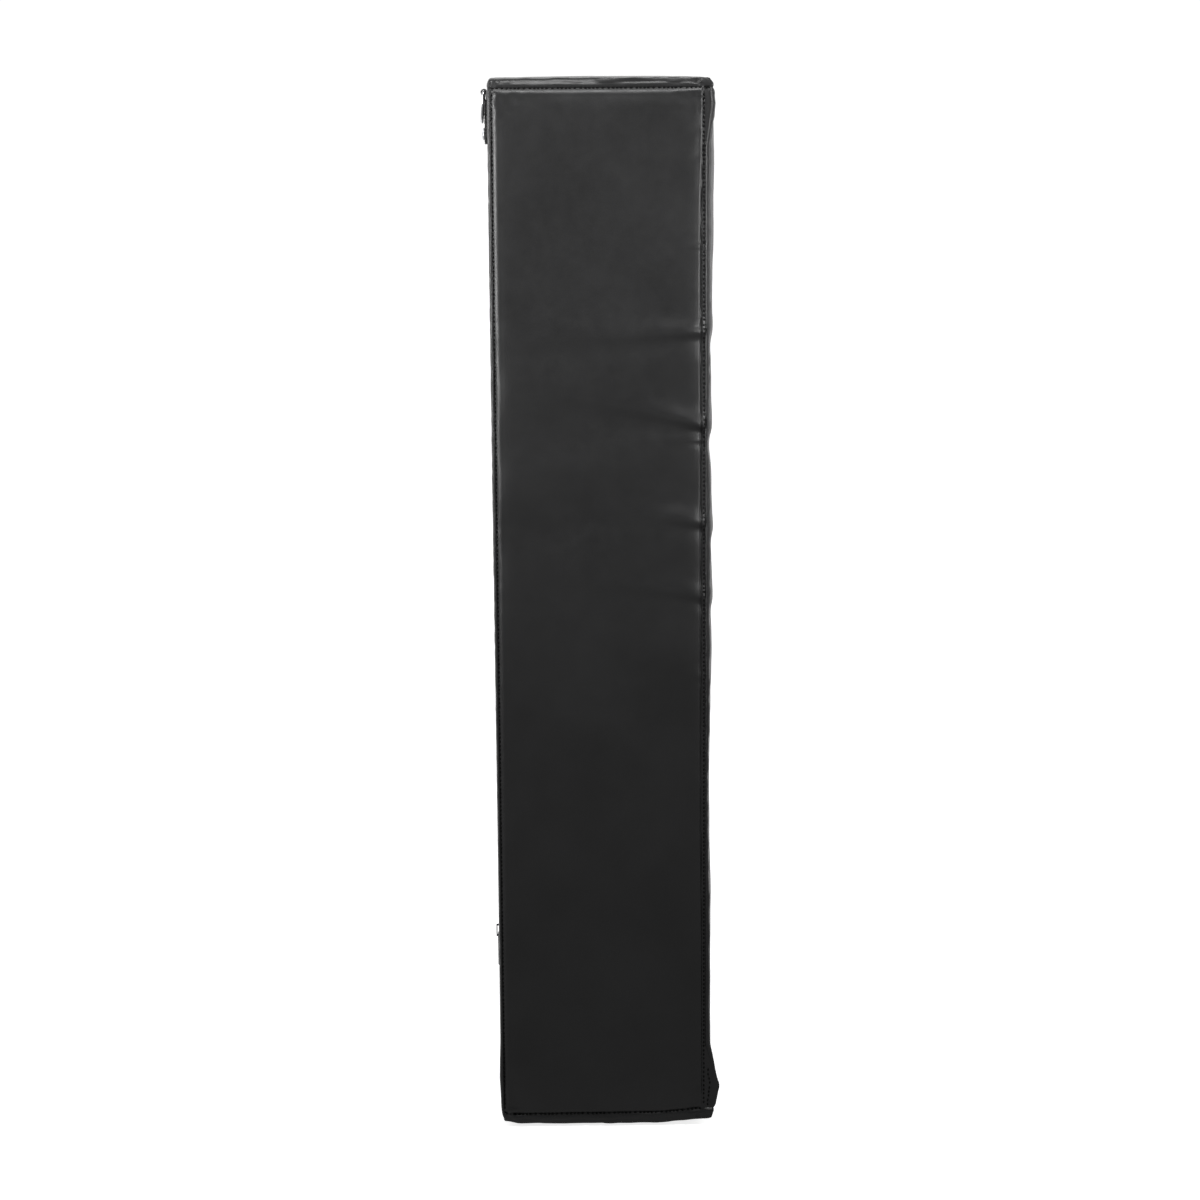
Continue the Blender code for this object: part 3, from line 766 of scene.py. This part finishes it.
# CAD node, piece, material, colour, cells to a metre, how much more the block is set back
# from the striking face, and how far its edges are rounded
FOAMS = (
    ("impact_foam_layer", "impact_foam", "foam_black", (0.05, 0.05, 0.055), 420.0, 0.0055, 0.007),
    ("core_foam_block", "core_foam", "foam_cream", (0.72, 0.70, 0.62), 260.0, 0.0, 0.009),
    ("firm_foam_layer", "firm_foam", "foam_blue", (0.25, 0.33, 0.42), 520.0, 0.0, 0.007),
)


def soft_block(cad_node, name, material, setback, radius):
    """A foam block a little smaller than its place in the frame, with softened, uneven edges."""
    low, high = (np.array(corner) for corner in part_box(cad_node))
    low += FOAM_INSET + (0, setback, 0)
    high -= FOAM_INSET
    cuts = [lines(low[k], high[k], [], radius / 4, radius, 0.02) for k in range(3)]
    flat, quads, _ = flat_grid(*cuts)
    points = round_box(flat, low, high, radius)
    uneven = noise2(flat[:, 0] * 60 + flat[:, 1] * 90, flat[:, 2] * 60, seed=71)
    points += point_normals(points, quads) * 0.0003 * uneven[:, None]
    piece = mesh_object(name, points, quads, material)
    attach(piece, "pad")
    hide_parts(cad_node)


def make_filling():
    for cad_node, name, look, colour, cell, setback, radius in FOAMS:
        soft_block(cad_node, name, foam(look, colour, cell), setback, radius)
    painted("backboard", wood("plywood_grain"))


# --- Stitches ---
class Surface:
    """Finds places on the cover by their flat places."""

    def __init__(self):
        self.points = cover_points
        self.normals = point_normals(cover_points, cover_quads)
        self.tree = kdtree.KDTree(len(flat_points))
        for index, place in enumerate(flat_points.tolist()):
            self.tree.insert(place, index)
        self.tree.balance()

    def at(self, place):
        found = self.tree.find_n(place, 4)
        weights = np.array([1 / (distance + 1e-5) for _, _, distance in found])
        weights /= weights.sum()
        index = [one for _, one, _ in found]
        normal = weights @ self.normals[index]
        return weights @ self.points[index], normal / np.linalg.norm(normal)


# A stitch's outline: place along its half length, lift and thickness in radii of the thread
STITCH_PROFILE = (
    (-1, -0.9, 0), (-0.72, -0.1, 0.85), (0, 0.15, 1), (0.72, -0.1, 0.85), (1, -0.9, 0),
)


def stitch_mesh(places, normals, length, thread, sides=6):
    """Thread along a row of places: one rounded stitch between each pair that is a stitch apart."""
    verts, faces = [], []
    for i in range(len(places) - 1):
        a, b = places[i], places[i + 1]
        normal = normals[i] + normals[i + 1]
        normal /= np.linalg.norm(normal)
        step = b - a
        gap = np.linalg.norm(step)
        if gap < length * 0.5 or gap > length * 3:
            continue
        along = step / gap
        across = np.cross(along, normal)
        middle = (a + b) / 2
        start = len(verts)
        for place, lift, size in STITCH_PROFILE:
            centre = middle + along * (length / 2 * place) + normal * thread * lift
            for turn in turns(sides) if size else ():
                out = across * math.cos(turn) + normal * math.sin(turn)
                verts.append(centre + thread * size * out)
            if not size:
                verts.append(centre)
        first, last = start + 1, start + 1 + sides * 3
        for k in range(sides):
            n = (k + 1) % sides
            faces.append([start, first + n, first + k])
            faces.append([last, last - sides + k, last - sides + n])
        faces += ring_faces(sides, 3, first)
    return verts, faces


def spaced(start, end, pitch):
    """Places from start to end, a stitch apart."""
    start, end = np.array(start, float), np.array(end, float)
    count = max(int(np.linalg.norm(end - start) / pitch), 1)
    return [start + (end - start) * k / count for k in range(count + 1)]


def sew(surface, name, rows):
    """A piece of thread for these rows, each given by its corners' flat places on the cover."""
    verts, faces = [], []
    for row in rows:
        ends = [spaced(a, b, STITCH_PITCH) for a, b in zip(row, row[1:])]
        places = ends[0] + [place for part in ends[1:] for place in part[1:]]
        points, normals = zip(*(surface.at(place) for place in places))
        made, joined = stitch_mesh(points, normals, STITCH_LENGTH, THREAD)
        faces += [[i + len(verts) for i in face] for face in joined]
        verts += made
    piece = mesh_object(name, verts, faces, thread_black, sharp=80)
    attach(piece, "pad")


def round_row(z):
    """A row of stitches round the sides and the front of the pad at one height."""
    x, back, front, turn = HALF_WIDTH, BACK_Y - 0.003, FRONT_Y, FRONT_Y + 0.001
    half = [(-x, back, z), (-x, turn, z), (-x, front, z)]
    return half + [(-side, y, z) for side, y, z in half[::-1]]


# Where the ears' own row of stitches runs, between the front seam and the striking face, and how
# far it reaches below and above the lower left ear's tip
EAR_STITCH_Y = FRONT_Y + 0.0022
EAR_STITCH_FROM, EAR_STITCH_TO = EARS[0][1] - 0.020, EARS[0][1] + 0.018
# The four rows down the back: on both sides of the middle panel's seam, and beside the zip
BACK_ROWS = (
    BACK_LOW.x + 0.0035, BACK_LOW.x - 0.0040, ZIP_EDGES[0] - 0.0035, ZIP_EDGES[1] + 0.0035,
)


def make_stitches():
    surface = Surface()
    low, high = SEAM_BOTTOM + 0.004, SEAM_TOP - 0.004
    uprights = (
        ("front", SEAM_FRONT + TOPSTITCH, low, high),
        ("ear", EAR_STITCH_Y, EAR_STITCH_FROM, EAR_STITCH_TO),
        ("back", SEAM_BACK - GAP, low, high),
    )
    for side, x in (("left", -HALF_WIDTH), ("right", HALF_WIDTH)):
        for place, y, start, end in uprights:
            sew(surface, f"stitches_{place}_{side}", [[(x, y, start), (x, y, end)]])
    sew(surface, "stitches_top", [round_row(SEAM_TOP + GAP)])
    sew(surface, "stitches_bottom", [round_row(SEAM_BOTTOM - GAP)])
    low, high = SEAM_BOTTOM + 0.003, SEAM_TOP - 0.003
    sew(surface, "stitches_back_panels", [[(x, BACK_Y, low), (x, BACK_Y, high)] for x in BACK_ROWS])


# --- Hanging tabs, D-rings, screws and T-nuts ---
WEB = 0.0011  # how thick the webbing is
LOOP_RADIUS = 0.0024  # its loop round the ring's bar, at mid thickness
LOOP_OVERWRAP = math.radians(25)
RING_WIRE = 0.0014  # the wire's radius, and the ring's outline at mid wire
RING_HALF = 0.022
RING_LEG = 0.006
RING_CORNER = 0.003
RING_TILT = math.radians(4.6)
RING_AXIS_Y = GAP + WEB / 2 + LOOP_RADIUS
TAB_FACE_Y = GAP + 2 * WEB + GAP  # the folded tab's outer face
SCREW_BELOW_BAR = 0.039
# The tab's stitches: a box with a cross, and a row below, as x from its middle and the distance
# below the ring's bar
TAB_PITCH, TAB_STITCH, TAB_THREAD = 0.0030, 0.0024, 0.00036
TAB_BOX = ((-0.0150, 0.0090), (0.0150, 0.0090), (0.0150, 0.0290), (-0.0150, 0.0290))
TAB_ROWS = (
    (*TAB_BOX, TAB_BOX[0], TAB_BOX[2]),
    (TAB_BOX[1], TAB_BOX[3]),
    ((-0.016, 0.0455), (0.016, 0.0455)),
)
# The screw's outline as radius and height: its rim above the tab, then its dome and its six-sided
# socket below its top
SCREW_SHANK = 0.0029
SCREW_RIM = ((0.0056, 0.0), (0.0060, 0.0003), (0.0060, 0.0007), (0.0057, 0.0011))
SCREW_DOME = ((0.0050, 0.0004), (0.0042, 0.0001), (0.0032, 0.0))
SCREW_SOCKET = ((0.0021, 0.0), (0.00195, 0.0002), (0.00195, 0.0013))


def smooth_path(path, step):
    """Points an even step apart along a path of corners, with the corners eased."""
    path = np.array(path)
    lengths = np.concatenate([[0], np.cumsum(np.linalg.norm(np.diff(path, axis=0), axis=1))])
    marks = np.linspace(0, lengths[-1], int(lengths[-1] / step) + 1)
    points = np.stack([np.interp(marks, lengths, path[:, k]) for k in range(path.shape[1])], axis=1)
    for _ in range(3):
        points[1:-1] = (points[:-2] + 2 * points[1:-1] + points[2:]) / 4
    return points


def web_path(length):
    """The folded webbing's middle line, as y and the distance from the ring's bar."""
    inner = GAP + WEB / 2
    outer = inner + WEB + GAP
    path = [(inner, length), (inner, 0)]
    sweep, steps = math.pi + LOOP_OVERWRAP, 24
    for step in range(1, steps + 1):
        angle = sweep * step / steps
        path.append((RING_AXIS_Y - LOOP_RADIUS * math.cos(angle), -LOOP_RADIUS * math.sin(angle)))
    end_y, end_s = path[-1]
    run = (end_y - outer) / math.tan(LOOP_OVERWRAP)
    path += [(outer, end_s + run), (outer, length)]
    return smooth_path(path, 0.0006)


def strap(path, half_width, thickness, steps=14):
    """A flat strap swept along a path in the y-z plane, with rounded selvedges."""
    across = np.linspace(-1, 1, steps)
    side = np.sqrt(np.clip(1 - across**12, 0.12, 1))
    outline = [(x * half_width, thickness / 2 * s) for x, s in zip(across, side)]
    outline += [(x, -up) for x, up in outline[::-1]]
    tangent = np.gradient(path, axis=0)
    tangent /= np.linalg.norm(tangent, axis=1, keepdims=True)
    count = len(outline)
    verts = []
    for (y, s), (ty, ts) in zip(path, tangent):
        verts += [(x, y + ts * w, s - ty * w) for x, w in outline]
    faces = ring_faces(count, len(path))
    last = (len(path) - 1) * count
    for k in range(steps - 1):
        m = count - 1 - k
        faces.append([k, k + 1, m - 1, m][::-1])
        faces.append([last + k, last + k + 1, last + m - 1, last + m])
    return np.array(verts), faces


def ring_path():
    """The D-ring's middle line in its own plane, from one end of its bar round to the other."""
    centre = RING_HALF - RING_CORNER
    corner = []
    for k in range(9):
        angle = math.pi / 2 * k / 8
        corner.append((-centre - RING_CORNER * math.cos(angle), RING_CORNER * (math.sin(angle) - 1)))
    bar = [(-centre + 2 * centre * k / 12, 0) for k in range(1, 12)]
    bow = []
    for k in range(45):
        angle = math.pi * k / 44
        bow.append((RING_HALF * math.cos(angle), -RING_LEG - RING_HALF * math.sin(angle)))
    return np.array(corner + bar + [(-x, z) for x, z in corner[::-1]] + bow)


def tube(path, radius, sides=16):
    """A closed wire round a flat loop of (x, z) points."""
    ahead = np.roll(path, -1, axis=0) - np.roll(path, 1, axis=0)
    ahead /= np.linalg.norm(ahead, axis=1, keepdims=True)
    verts = []
    for (x, z), (tx, tz) in zip(path, ahead):
        for turn in turns(sides):
            out = radius * math.cos(turn)
            verts.append((x + tz * out, radius * math.sin(turn), z - tx * out))
    faces = np.array(ring_faces(sides, len(path) + 1)) % len(verts)
    return np.array(verts), faces


def lathe(profile, hex_from, sides=48):
    """A turned piece along Y, whose profile is six-sided from the point of this number on."""
    verts = []
    for i, (radius, y) in enumerate(profile):
        for turn in turns(sides):
            flat_side = math.cos((turn % (math.pi / 3)) - math.pi / 6)
            size = radius / flat_side if i >= hex_from else radius
            verts.append((size * math.cos(turn), y, size * math.sin(turn)))
    return np.array(verts), capped_faces(sides, len(profile))


def make_tab(corner, centre_x, half_width, bar_z, length):
    verts, faces = strap(web_path(length), half_width, WEB)
    verts[:, 1] += 0.0001 * noise1(verts[:, 2] / 0.006, seed=81)
    verts = verts * (1, 1, -1) + (centre_x, 0, bar_z)
    tab = mesh_object(f"webbing_{corner}", verts, faces, webbing_black)
    consistent(tab)
    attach(tab, "pad")
    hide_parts(f"tab_{corner}")

    threads, joined = [], []
    for row in TAB_ROWS:
        corners = [(centre_x + x, TAB_FACE_Y, bar_z - s) for x, s in row]
        for a, b in zip(corners, corners[1:]):
            places = spaced(a, b, TAB_PITCH)
            up = [np.array((0.0, 1.0, 0.0))] * len(places)
            made, linked = stitch_mesh(places, up, TAB_STITCH, TAB_THREAD)
            joined += [[i + len(threads) for i in one] for one in linked]
            threads += made
    thread = mesh_object(f"webbing_thread_{corner}", threads, joined, thread_black, sharp=80)
    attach(thread, "pad")


def make_ring(side, centre_x, bar_z):
    corner = f"top_{side}"
    verts, faces = tube(ring_path(), RING_WIRE)
    x, y, z = verts.T
    turned_y = y * math.cos(RING_TILT) - z * math.sin(RING_TILT)
    turned_z = y * math.sin(RING_TILT) + z * math.cos(RING_TILT)
    verts = np.stack([x + centre_x, turned_y + RING_AXIS_Y, turned_z + bar_z], axis=1)
    ring = mesh_object(f"d_ring_{corner}", verts, faces, ring_chrome, sharp=60)
    consistent(ring)
    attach(ring, f"top_{side}_ring")
    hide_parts(f"ring_{corner}")


def make_screw(corner, centre_x, screw_z, tip, top):
    seat = TAB_FACE_Y + GAP
    profile = [(SCREW_SHANK, tip), (SCREW_SHANK, seat)]
    profile += [(radius, seat + up) for radius, up in SCREW_RIM]
    profile += [(radius, top - down) for radius, down in SCREW_DOME + SCREW_SOCKET]
    verts, faces = lathe(profile, len(profile) - len(SCREW_SOCKET))
    screw = mesh_object(f"bolt_{corner}", verts + (centre_x, 0, screw_z), faces, zinc, sharp=35)
    consistent(screw)
    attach(screw, "pad")
    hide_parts(f"screw_{corner}")


def make_hangers():
    for side in ("left", "right"):
        corner = f"top_{side}"
        low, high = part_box(f"tab_{corner}")
        screw_low, screw_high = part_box(f"screw_{corner}")
        centre_x = (low.x + high.x) / 2
        screw_z = (screw_low.z + screw_high.z) / 2
        bar_z = screw_z + SCREW_BELOW_BAR
        make_tab(corner, centre_x, (high.x - low.x) / 2, bar_z, bar_z - low.z)
        make_ring(side, centre_x, bar_z)
        make_screw(corner, centre_x, screw_z, screw_low.y, screw_high.y)
        painted(f"tnut_{corner}", zinc)


# --- The zip ---
TOOTH_PITCH = 0.0028
TOOTH_HALF = 0.00058  # half a tooth's height
# A tooth's cross-sections from its tip to its neck: place across the chain, then height and depth
# as shares of the whole; and their outline as height and depth
TOOTH_ROWS = (
    (-0.00075, 0.62, 0.55), (-0.00045, 1.0, 0.98), (0.0006, 1.0, 1.0),
    (0.0011, 0.66, 0.80), (0.0026, 0.62, 0.72), (0.0030, 0.45, 0.50),
)
TOOTH_OUTLINE = (
    (-1, -0.6), (-0.6, -1), (0.6, -1), (1, -0.6), (1, 0.6), (0.6, 1), (-0.6, 1), (-1, 0.6),
)
# A tape's grid lines from the teeth outwards, and how high its cord stands at each
TAPE_SHARE = np.array([0, 0.03, 0.06, 0.09, 0.13, 0.2, 0.35, 0.5, 0.65, 0.8, 0.9, 1.0])
TAPE_CORD = 0.0003 * np.array([0.35, 0.9, 1.0, 0.8, 0.2, 0, 0, 0, 0, 0, 0, 0])


def make_teeth():
    """Moulded teeth, each a chamfered block with a neck, from alternate sides."""
    low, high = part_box("zip_chain")
    middle = (low + high) / 2
    depth = (high.y - low.y) / 2
    count = int((high.z - low.z) / (TOOTH_PITCH / 2))
    verts, faces = [], []
    for i in range(count):
        side = 1 if i % 2 else -1
        z = low.z + (i + 0.5) * (high.z - low.z) / count
        faces += capped_faces(len(TOOTH_OUTLINE), len(TOOTH_ROWS), len(verts))
        for x, tall, deep in TOOTH_ROWS:
            for dz, dy in TOOTH_OUTLINE:
                y = middle.y + dy * depth * deep
                verts.append((middle.x + side * x, y, z + dz * TOOTH_HALF * tall))
    teeth = mesh_object("zip_teeth", verts, faces, tooth_plastic, sharp=30)
    consistent(teeth)
    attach(teeth, "pad")
    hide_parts("zip_chain")


def make_tape(side):
    """One side of the zip's tape, with a corded edge at the teeth and a slight wave."""
    low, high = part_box(f"zip_tape_{side}")
    chain_low, chain_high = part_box("zip_chain")
    inner, outer = (high.x, low.x) if side == "left" else (low.x, high.x)
    across, upwards = inner + (outer - inner) * TAPE_SHARE, np.linspace(low.z, high.z, 260)
    u, v = np.meshgrid(across, upwards, indexing="ij")
    # past both ends of the chain the two tapes close
    past_chain = np.maximum(chain_low.z - v, v - chain_high.z)
    closing = 0.97 * ((chain_low.x + chain_high.x) / 2 - inner) * (1 - TAPE_SHARE[:, None])
    u = u + closing * step_between(past_chain, 0.002, 0.009)
    wave = 0.00012 * noise2(u / 0.012, v / 0.03, seed=91)
    front = np.stack([u, high.y + TAPE_CORD[:, None] + wave, v], axis=-1).reshape(-1, 3)
    index = np.arange(u.size).reshape(u.shape)
    corners = [index[:-1, :-1], index[1:, :-1], index[1:, 1:], index[:-1, 1:]]
    quads = np.stack(corners, axis=-1).reshape(-1, 4)
    points, faces = closed_sheet(front, front - (0, high.y - low.y, 0), quads)
    tape = mesh_object(f"tape_{side}", points, faces, tape_black)
    consistent(tape)
    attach(tape, "pad")
    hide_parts(f"zip_tape_{side}")


def make_zip():
    make_teeth()
    make_tape("left")
    make_tape("right")
    for name in ("zip_stop_top", "zip_stop_bottom", "zip_slider", "zip_pull"):
        edge = painted(name, black_metal).modifiers.new("soft_edges", "BEVEL")
        edge.width = 0.0004
        edge.segments = 3
        edge.limit_method = "ANGLE"
        edge.angle_limit = math.radians(40)


make_filling()
make_stitches()
make_hangers()
make_zip()

# --- Stage, light and camera ---
FLOOR_Z = float(cover_points[:, 2].min()) - 0.0006
FLOOR_SIZE = 30.0
FLOOR_SEEN = 0.80  # how bright it looks to the camera
FLOOR_FROM, FLOOR_TO = -0.1, 0.7  # where along X its light changes, from dim to bright
FLOOR_DIM, FLOOR_BRIGHT = 0.29, 1.25
WORLD_SEEN = 1.05
WORLD_DIM = (0.010, 0.010, 0.010)  # the studio's light on the pad's -X and +X side
WORLD_BRIGHT = (1.45, 1.45, 1.45)
WORLD_FROM, WORLD_TO = 0.58, 0.86  # where it changes, from 0 at -X to 1 at +X
WORLD_PANELS = (0.42, 0.42, 0.42)  # the least light from ahead and from behind
PANELS_FROM, PANELS_TO = 0.45, 0.95
WHITE = (1, 1, 1, 1)


def seen_or_lit(tree, seen, lit, output):
    """One shader for what the camera sees, and another for the light that it gives."""
    mix = node(tree, "MixShader")
    feed(tree, node(tree, "LightPath").outputs["Is Camera Ray"], mix, 0)
    feed(tree, lit.outputs[0], mix, 1)
    feed(tree, seen.outputs[0], mix, 2)
    feed(tree, mix.outputs[0], output, "Surface")


def make_floor():
    """A pale floor: near white where the camera sees it, and dimmer as a source of light."""
    size = FLOOR_SIZE
    corners = [(-size, -size), (size, -size), (size, size), (-size, size)]
    data = bpy.data.meshes.new("floor")
    data.from_pydata([(x, y, FLOOR_Z) for x, y in corners], [], [(0, 1, 2, 3)])
    material, tree, shader, place = new_material(
        "floor_pale", Base_Color=(0.9, 0.9, 0.9, 1), Roughness=0.9, Specular_IOR_Level=0.0,
        Emission_Color=WHITE, Emission_Strength=FLOOR_SEEN
    )
    apart = feed(tree, place, node(tree, "SeparateXYZ"), "Vector")
    reach = map_range(tree, apart.outputs["X"], FLOOR_FROM, FLOOR_TO, FLOOR_DIM, FLOOR_BRIGHT)
    reach.interpolation_type = "SMOOTHSTEP"
    light = feed(tree, reach.outputs["Result"], node(tree, "Emission", Color=WHITE), "Strength")
    seen_or_lit(tree, shader, light, tree.nodes["Material Output"])
    data.materials.append(material)
    floor = bpy.data.objects.new("floor", data)
    bpy.context.scene.collection.objects.link(floor)


def make_world():
    """A white studio. As light, it is bright behind the pad and beside it, and dim on its -X side."""
    world = bpy.data.worlds.new("studio")
    bpy.context.scene.world = world
    world.use_nodes = True
    tree = world.node_tree
    tree.nodes.clear()
    direction = node(tree, "TexCoord").outputs["Generated"]
    apart = feed(tree, direction, node(tree, "SeparateXYZ"), "Vector")
    spread = map_range(tree, apart.outputs["X"], -1.0, 1.0, 0.0, 1.0).outputs["Result"]
    sideways = node(tree, "Math")
    sideways.operation = "ABSOLUTE"
    feed(tree, apart.outputs["Y"], sideways, 0)
    both = node(tree, "Mix")
    both.data_type = "RGBA"
    both.blend_type = "LIGHTEN"
    both.inputs["Factor"].default_value = 1.0
    feed(tree, ramp(tree, spread, WORLD_DIM, WORLD_BRIGHT, WORLD_FROM, WORLD_TO), both, 6)
    panels = ramp(tree, sideways.outputs[0], (0, 0, 0), WORLD_PANELS, PANELS_FROM, PANELS_TO)
    feed(tree, panels, both, 7)
    light = feed(tree, both.outputs[2], node(tree, "Background", Strength=1.0), "Color")
    seen = node(tree, "Background", Color=WHITE, Strength=WORLD_SEEN)
    seen_or_lit(tree, seen, light, tree.nodes.new("ShaderNodeOutputWorld"))


def aimed(place, target):
    """The rotation of a lamp at the place that shines on the target."""
    return (Vector(target) - Vector(place)).to_track_quat("-Z", "Y").to_euler()


def softbox(name, place, target, size, power, spread):
    data = bpy.data.lights.new(name, "AREA")
    data.shape = "RECTANGLE"
    data.size, data.size_y = size
    data.energy = power
    data.spread = math.radians(spread)
    lamp = bpy.data.objects.new(name, data)
    lamp.location = place
    lamp.rotation_euler = aimed(place, target)
    lamp.visible_camera = False
    bpy.context.scene.collection.objects.link(lamp)


def make_lights():
    """Two low softboxes graze the -X side, one above draws its creases, two light the rest."""
    upper = (-HALF_WIDTH, FRONT_Y / 2, 0.42)
    below_upper = (-HALF_WIDTH, FRONT_Y / 2, 0.30)
    softbox("softbox_key", (-1.00, -1.50, 0.36), upper, (0.8, 0.45), 1.6, 44)
    softbox("softbox_fill", (-0.95, 1.30, 0.36), upper, (0.7, 0.45), 2.0, 44)
    softbox("softbox_above", (-1.35, -0.1, 1.95), below_upper, (1.0, 0.7), 3.5, 50)
    softbox("softbox_behind", (1.3, 3.0, 1.6), (0, 0, 0.1), (3.0, 2.0), 10, 120)
    softbox("softbox_striking", (1.5, -3.2, 1.6), (0, FRONT_Y, 0.1), (3.0, 2.0), 10, 120)


CAMERA_DISTANCE = 2.5784  # from the -X side panel
CAMERA_Y = -0.0421
CAMERA_TURN = math.radians(-1.301)
CAMERA_DOWN = math.radians(10.635)
CAMERA_ROLL = math.radians(-0.381)
CAMERA_LENS = 83.4  # in mm, on a sensor 36 mm wide


def make_camera():
    """Level with the pad's top on its -X side, tilted down at its middle."""
    data = bpy.data.cameras.new("camera")
    data.sensor_width = 36.0
    data.lens = CAMERA_LENS
    data.clip_end = 100.0
    camera = bpy.data.objects.new("camera", data)
    camera.location = (-HALF_WIDTH - CAMERA_DISTANCE, CAMERA_Y, HALF_HEIGHT)
    level = math.cos(CAMERA_DOWN)
    ahead = (
        level * math.cos(CAMERA_TURN),
        level * math.sin(CAMERA_TURN),
        -math.sin(CAMERA_DOWN),
    )
    camera.rotation_euler = aimed((0, 0, 0), ahead)
    camera.rotation_euler.rotate_axis("Z", CAMERA_ROLL)
    bpy.context.scene.collection.objects.link(camera)
    bpy.context.scene.camera = camera


make_floor()
make_world()
make_lights()
make_camera()
bpy.context.scene.view_settings.view_transform = "Standard"
